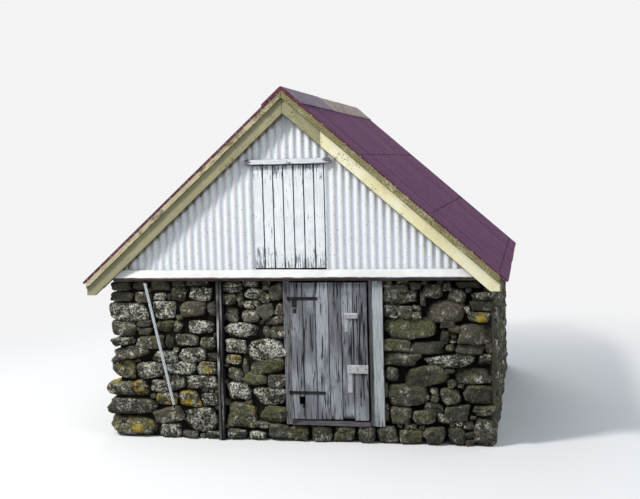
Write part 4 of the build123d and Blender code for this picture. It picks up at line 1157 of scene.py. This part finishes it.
# Each board is its side, the places of its upper and lower ends across the house, and whether its foot is cut
left_foot_x, right_foot_x, board_joint = 2.039, 1.998, .360
apex_gap, splice_gap = .0015, .002
verge_face, verge_thick, verge_width = .0030, .022, .060
verge_board_y = verge_y + verge_face + verge_thick / 2
for turned, name in ((1, "front"), (-1, "back")):
    rake(f"{name}_verge_paint", verge_paint, 80 + turned, turned * verge_board_y, verge_thick, verge_width,
         [(-1, apex_gap, left_foot_x, False), (1, apex_gap, right_foot_x, False)], (f"{name}_verge_boards",),
         wander=.0012)
# The left board and the upper right one take the darker paint, which is partly painted shade.
rake("front_barge_aged_shaded_paint", aged_shaded_barge_paint, 85, bargeboard_y, barge_thick, barge_width,
     [(-1, apex_gap, left_foot_x, True), (1, apex_gap, board_joint, False)], ("front_bargeboards",),
     wander=.002)
rake("front_barge_paint", barge_paint, 88, bargeboard_y, barge_thick, barge_width,
     [(1, board_joint + splice_gap, right_foot_x, True)], wander=.002)
rake("back_barge_paint", aged_shaded_barge_paint, 83, -bargeboard_y, barge_thick, barge_width,
     [(-1, apex_gap, left_foot_x, True), (1, apex_gap, right_foot_x, True)], ("back_bargeboards",),
     wander=.002)


# Gable iron
cladding_foot = 1.640
cladding_side = 1.790
under_purlins = purlin_thick + .002


def gable_iron(name, left, right, foot, facing, wave_start, seed):
    """Upright sheet: a sine across the gable, carried up from the foot to the rake under the purlins."""
    rng = np.random.default_rng(seed)
    x = np.linspace(left, right, max(13, round((right - left) / wave * 12) + 1))
    turn = np.sin(2 * pi * (x - wave_start) / wave)
    line = np.stack([x, wave_half * turn], 1)
    share = np.linspace(0, 1, 10)[:, None]
    grids = []
    sway = drift(rng, 10, x, .8) * .0005
    for sided in bent(line, gauge):
        top = roof_apex - np.abs(sided[:, 0]) * slope_tan - under_purlins / slope_cos
        z = foot + share * (top - foot)
        y = -facing * cladding_y + sided[None, :, 1] + sway + 0 * z
        grids.append(np.stack([sided[None, :, 0] + 0 * z, y, z], -1))
    sheet = shell(*grids, valley=.5 - facing * turn / 2)
    return put_joined(name + "_iron", [sheet], gable_paint, "white_iron", stands_for=(name,), sharp=40)


# The front's waves stand furthest out at three quarters of a turn, at these places
left_wave = -1.048 - .75 * wave
right_wave = .763 - .75 * wave
gable_iron("front_cladding_left", -cladding_side, -.327, cladding_foot, -1, left_wave, 91)
gable_iron("front_cladding_right", .375, cladding_side, cladding_foot, -1, right_wave, 92)
gable_iron("front_cladding_top", -.326, .374, 2.690, -1, right_wave, 93)
gable_iron("back_cladding", -cladding_side, cladding_side, cladding_foot, 1, left_wave, 94)

# Hatch, trim and drip boards
hatch_count = 7
hatch_left, hatch_width, hatch_gap = -.322, .697, .008
hatch_foot, hatch_height, hatch_thick = 1.700, .985, .020
hatch_pitch = hatch_width / hatch_count
hatch_x = hatch_left + hatch_pitch * np.arange(hatch_count) + (hatch_pitch - hatch_gap) / 2
boards("hatch_board_paint", hatch_paint, "white_boards", 101,
       [(x, wall_front - hatch_thick / 2, hatch_foot) for x in hatch_x], (0, 0, hatch_height),
       (hatch_pitch - hatch_gap, 0, 0), (0, -hatch_thick, 0), stands_for=("hatch_boards",), wander=.0007,
       ragged=(.004, .003), columns=10, stations=30)
trim_left, trim_middle, trim_length, trim_height, trim_thick = -.390, 2.7175, .828, .055, .030
boards("hatch_head_paint", trim_paint, "white_boards", 102,
       (trim_left, cladding_face - seat - trim_thick / 2, trim_middle), (trim_length, 0, 0),
       (0, 0, trim_height), (0, -trim_thick, 0), stands_for=("hatch_head_trim",), wander=.002, bevel=.003,
       stations=40)
drip_tilt = radians(18)
drip_left, drip_foot, drip_length, drip_width, drip_thick = -1.785, 1.598, 3.535, .092, .018
for facing, name in ((-1, "front"), (1, "back")):
    back = facing * (-cladding_face + seat)
    low = np.array([drip_left, back + facing * drip_width * sin(drip_tilt), drip_foot])
    across = drip_width * np.array([0, -facing * sin(drip_tilt), cos(drip_tilt)])
    out = drip_thick * np.array([0, facing * cos(drip_tilt), sin(drip_tilt)])
    boards(f"{name}_drip_paint", drip_paint, "white_boards", 103 + facing, low + across / 2 + out / 2,
           (drip_length, 0, 0), across, out, stands_for=(f"{name}_drip_board",), wander=.003, bow=.002,
           bevel=.003, stations=90, columns=10)

# Door frame, post and batten
sill_top, sill_height, sill_setback = .215, .045, .004
frame_foot, frame_height = sill_top - sill_height, 1.405
timber_depth = .100         # of the jambs, the sill and the post, into the wall
casing_thick = .025
boards("door_jamb_timber", frame_wood, "grey_timber", 111,
       [(x, jamb_front + timber_depth / 2, frame_foot) for x in (-.037, .789)], (0, 0, frame_height),
       [(.066, 0, 0), (.054, 0, 0)], (0, -timber_depth, 0), stands_for=("door_jambs",), stations=30)
boards("door_casing_paint", casing_wood, "grey_timber", 112,
       (.8515, jamb_front - casing_thick / 2, frame_foot), (0, 0, frame_height), (.097, 0, 0),
       (0, -casing_thick, 0), stands_for=("door_casing",), wander=.0025, stations=30, ragged=(.012, 0))
boards("door_sill_timber", sill_wood, "grey_timber", 113,
       (-.004, leaf_front + sill_setback + timber_depth / 2, sill_top - sill_height / 2), (.766, 0, 0),
       (0, 0, sill_height), (0, -timber_depth, 0), stands_for=("door_sill",), wander=.003, bevel=.003,
       stations=30)
# The post is split into two halves, which lean a little to the right
post_lean = .016
post_places = [(post_left + .013 - post_lean / 2, wall_front + .030, 0),
               (post_right - .013 - post_lean / 2, wall_front + .028, 0)]
boards("wall_post_timber", post_wood, "grey_timber", 114, post_places, (post_lean, 0, wall_top),
       [(.024, 0, 0), (.022, 0, 0)], (0, -timber_depth, 0), stands_for=("wall_post",), wander=.003,
       stations=40)
boards("corner_batten_timber", batten_wood, "grey_timber", 115, (1.928, wall_front + .018, .430),
       (0, 0, .834), (.024, 0, 0), (0, -.104, 0), stands_for=("corner_batten",), wander=.002)

# Door leaf
leaf_width = .752
leaf_foot, leaf_top, leaf_thick = .228, 1.563, .025
leaf_height = leaf_top - leaf_foot
plank_shares = np.array([128, 124, 126, 122, 114, 138])
plank_edges = leaf_width * np.hstack([0, np.cumsum(plank_shares)]) / plank_shares.sum()
plank_gap = .003
plank_x, plank_width = (plank_edges[:-1] + plank_edges[1:]) / 2, np.diff(plank_edges) - plank_gap
plank_y = leaf_front + leaf_thick / 2
hole_width, hole_foot, hole_head = .032 * plank_width[0] / .1, .148, .227
hole_step = .0002           # over this height the plank's edge steps in and out


def finger_notch(run, u):
    """The first plank's right edge steps in by the hole's width between the hole's foot and head."""
    return -hole_width * 1.265 * u * ((run > hole_foot) & (run < hole_head))


first = board_arrays(121, (plank_x[0], plank_y, leaf_foot), (0, 0, leaf_height), (plank_width[0], 0, 0),
                     (0, -leaf_thick, 0), wander=.0022, ragged=(.006, .003), columns=12, stations=40,
                     trim=finger_notch, stops=(hole_foot - hole_step, hole_foot + hole_step,
                                               hole_head - hole_step, hole_head + hole_step))
others = board_arrays(122, [(x, plank_y, leaf_foot) for x in plank_x[1:]], (0, 0, leaf_height),
                      [(w, 0, 0) for w in plank_width[1:]], (0, -leaf_thick, 0), wander=.0026,
                      ragged=([[.010], [.014], [.030], [.060], [.006]], .004), columns=14, stations=44)
put_joined("door_plank_wood", [first, others], door_wood, "grey_timber", "door", ("door_planks",), sharp=38)
ledge_inset, ledge_thick = .014, .025
boards("door_ledge_wood", frame_wood, "grey_timber", 123,
       [(ledge_inset, leaf_front + leaf_thick + ledge_thick / 2, z) for z in (.290, .640, 1.408)],
       (leaf_width - 2 * ledge_inset, 0, 0), (0, 0, .100), (0, -ledge_thick, 0), "door", ("door_ledges",),
       bevel=.003)
# Each latch is a block across the planks and a strip that hangs from it: where they start, and their sizes
latch_thick, strip_thick = .016, .005
upper_latch_z, lower_latch_z = 1.2435, .729
for name, seed, block, strip, block_size, strip_size in (
        ("upper_latch", 124, (.534, upper_latch_z), (.550, 1.218), (.127, .051), (.032, .131)),
        ("lower_latch", 125, (.551, lower_latch_z), (.574, .689), (.201, .080), (.046, .191))):
    boards(f"{name}_plate", latch_metal, "latch_metal", seed,
           [(block[0], leaf_front - latch_thick / 2, block[1]),
            (strip[0], leaf_front - strip_thick / 2, strip[1])],
           [(block_size[0], 0, 0), (0, 0, -strip_size[1])], [(0, 0, block_size[1]), (strip_size[0], 0, 0)],
           [(0, -latch_thick, 0), (0, -strip_thick, 0)], "door", (name,), wander=.0003, bow=0)
boards("door_patches", dark_iron, "dark_iron", 126,
       [(.046, leaf_front - .001, 1.325), (.050, leaf_front - .001, 1.265)], [(0, 0, .085), (0, 0, .040)],
       [(.048, 0, 0), (.030, 0, 0)], (0, -.003, 0), "door", wander=.0015, bevel=.0008)


# Rope
def tube_arrays(path, radius, side):
    """A tube round a path: circles of eight points in the plane of two fixed directions across the path, with
    the ends drawn in."""
    front = np.cross(path[-1] - path[0], side)
    front /= np.linalg.norm(front)
    around = np.arange(8) * pi / 4
    ring = np.cos(around)[None, :, None] * side + np.sin(around)[None, :, None] * front
    swell = np.full(len(path), radius)
    swell[[0, -1]] *= .02
    points = (path[:, None] + swell[:, None, None] * ring).reshape(1, -1, 3)
    return points, outward(points, round_quads(len(path))), {}


def strand_rope(name, start, stop, radius, turns):
    """Three strands: each a tube whose middle runs round the straight line between two points as a helix."""
    start, stop = np.array(start), np.array(stop)
    run = (stop - start) / np.linalg.norm(stop - start)
    side = np.cross(run, [0, 1, 0])
    side /= np.linalg.norm(side)
    front = np.cross(run, side)
    t = np.linspace(0, 1, turns * 10 + 1)
    groups = []
    for strand in range(3):
        turn = 2 * pi * (t * turns + strand / 3)
        helix = np.cos(turn)[:, None] * side + np.sin(turn)[:, None] * front
        path = start + t[:, None] * (stop - start) + radius * .55 * helix
        groups.append(tube_arrays(path, radius * .48, side))
    points, quads, _ = join(groups)
    # Nearness to the rope's axis, for painted shade in the grooves.
    inward = 1 - np.linalg.norm(np.cross(points - start, run), axis=-1) / radius
    return put(name, points, quads, rope_fibre, "rope", stands_for=("tie_down",), inward=inward)


rope_y = verge_y + .070
strand_rope("roof_tie_rope", (-1.4489, rope_y, 1.5663), (-1.1941, rope_y, .3497), .0145, 16)

# Nail heads and bolts
rng = np.random.default_rng(7)


def nail_pairs(places, y, rows, aside, uneven):
    """Two nails in every board at each row's height, a little out of line."""
    return [(x + d, y, z + rng.uniform(-uneven, uneven))
            for x in places for z in rows for d in (-aside, aside)]


spots = nail_pairs(hatch_x, wall_front - hatch_thick, (1.825, 2.19, 2.56), .022, .01)
nails("hatch_nails", nail_iron, "dark_iron", spots, (0, -1, 0), .0035, .0015)
spots = nail_pairs(plank_x, leaf_front, (.29, .64, 1.36), .028, .012)
nails("door_nails", nail_iron, "dark_iron", spots, (0, -1, 0), .0038, .0016, "door")
strap_thick = .006
spots = [(x, leaf_front - strap_thick, 1.408) for x in (.05, .13, .21, .26)]
spots += [(x, leaf_front - strap_thick, .492) for x in (.05, .13, .21, .30)]
nails("strap_bolts", dark_iron, "dark_iron", spots, (0, -1, 0), .008, .004, "door")
spots = [(x, leaf_front - latch_thick, upper_latch_z) for x in (.552, .592, .640)]
spots += [(x, leaf_front - latch_thick, lower_latch_z) for x in (.572, .650, .730)]
nails("latch_bolts", nail_iron, "latch_metal", spots, (0, -1, 0), .0055, .003, "door")
spots = []
for side, level, far in ((-1, -.008, .110), (1, .000, .150)):
    s = np.arange(.06, 2.72, far)
    s = s + rng.uniform(-.2, .2, len(s)) * far
    spots.append(slope_point(side, s, verge_y + nail_proud, level + rng.uniform(-.003, .003, len(s))))
spots = np.vstack(spots)
nails("front_verge_nails", pale_nail, "maroon_iron", spots, (0, -1, 0), .0048, .0013)
nails("back_verge_nails", pale_nail, "maroon_iron", spots * [-1, -1, 1], (0, 1, 0), .0048, .0013)

# Floor, light and camera
white = .90
floor_mesh = bpy.data.meshes.new("floor")
radius = np.array([0, 4, 9, 16, 30, 60.])[:, None]
turn = np.arange(48) * pi / 24
floor_z = -.001
disc = np.stack([radius * np.cos(turn), radius * np.sin(turn), floor_z + 0 * radius * turn], -1)
floor_mesh.from_pydata(disc.reshape(-1, 3).tolist(), [], grid_quads(6, 48, wrap=True).tolist())
floor = bpy.data.objects.new("floor", floor_mesh)
bpy.context.scene.collection.objects.link(floor)
pale = Finish("pale_floor", Roughness=.9, Specular_IOR_Level=.1)
seen = pale.step("LightPath", out="Is Camera Ray")
near_tone = pale.mix(pale.noise(.4, 3), tone(221, 221, 220), tone(224, 224, 223))
pale.done(pale.mix(seen, tone(168, 166, 160), near_tone))
away = pale.step("VectorMath", {0: pale.place()}, out="Value", operation="LENGTH")
fade = pale.times(pale.mask(away, 3.6, 8.5), seen)
glow = pale.step("Emission", {"Color": (white, white, white, 1)})
faded = pale.step("MixShader", {0: fade, 1: pale.shader.outputs[0], 2: glow})
pale.tree.links.new(faded, pale.tree.nodes["Material Output"].inputs["Surface"])
floor_mesh.materials.append(pale.material)
floor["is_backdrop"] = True

world = bpy.data.worlds.new("studio")
bpy.context.scene.world = world
world.use_nodes = True
tree = world.node_tree
rays = tree.nodes.new("ShaderNodeLightPath")
level = tree.nodes.new("ShaderNodeMix")
level.data_type = "RGBA"
level.inputs[6].default_value = (.50, .54, .60, 1)
level.inputs[7].default_value = (white, white, white, 1)
seen = rays.outputs["Is Camera Ray"]
for kind in ("Is Glossy Ray", "Is Transmission Ray"):
    either = tree.nodes.new("ShaderNodeMath")
    either.operation = "MAXIMUM"
    tree.links.new(seen, either.inputs[0])
    tree.links.new(rays.outputs[kind], either.inputs[1])
    seen = either.outputs[0]
tree.links.new(seen, level.inputs[0])
tree.links.new(level.outputs[2], tree.nodes["Background"].inputs["Color"])


def lamp(name, size, strength, place, target, colour=(1, 1, 1)):
    """A large soft lamp. Its power is pi squared times its distance squared, times how brightly it alone
    lights a white surface that faces it."""
    place, target = Vector(place), Vector(target)
    light = bpy.data.lights.new(name, "AREA")
    light.size, light.color = size, colour
    light.energy = strength * pi ** 2 * (target - place).length_squared
    made = bpy.data.objects.new(name, light)
    bpy.context.scene.collection.objects.link(made)
    made.location = place
    made.rotation_euler = (target - place).to_track_quat("-Z", "Y").to_euler()


lamp("key", 2.0, .93, (-6.8, -7.2, 11.2), (0, -.5, 1.2), (1, .985, .96))
lamp("side", 5.0, .17, (9.5, -6.0, 6.0), (0, 0, 1.5), (.86, .93, 1))
lamp("behind", 6.0, .40, (-2.0, 11.0, 6.0), (0, 0, 1.4))

lens_length, sensor_width = 57.99, 36
camera_place = (2.297, -11.586, 2.695)
yaw, down, roll = radians(-11.72), radians(4.79), radians(-1.54)
camera_data = bpy.data.cameras.new("camera")
camera_data.sensor_width = sensor_width
camera_data.lens = lens_length
camera = bpy.data.objects.new("camera", camera_data)
bpy.context.scene.collection.objects.link(camera)
ahead = Vector((sin(yaw) * cos(down), cos(yaw) * cos(down), -sin(down)))
right = Vector((cos(yaw), -sin(yaw), 0))
above = right.cross(ahead)
axis_x, axis_y = cos(roll) * right + sin(roll) * above, -sin(roll) * right + cos(roll) * above
turned = Matrix((axis_x, axis_y, -ahead)).transposed().to_4x4()
camera.matrix_world = Matrix.Translation(camera_place) @ turned
bpy.context.scene.camera = camera
bpy.context.scene.view_settings.view_transform = "Standard"

low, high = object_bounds()
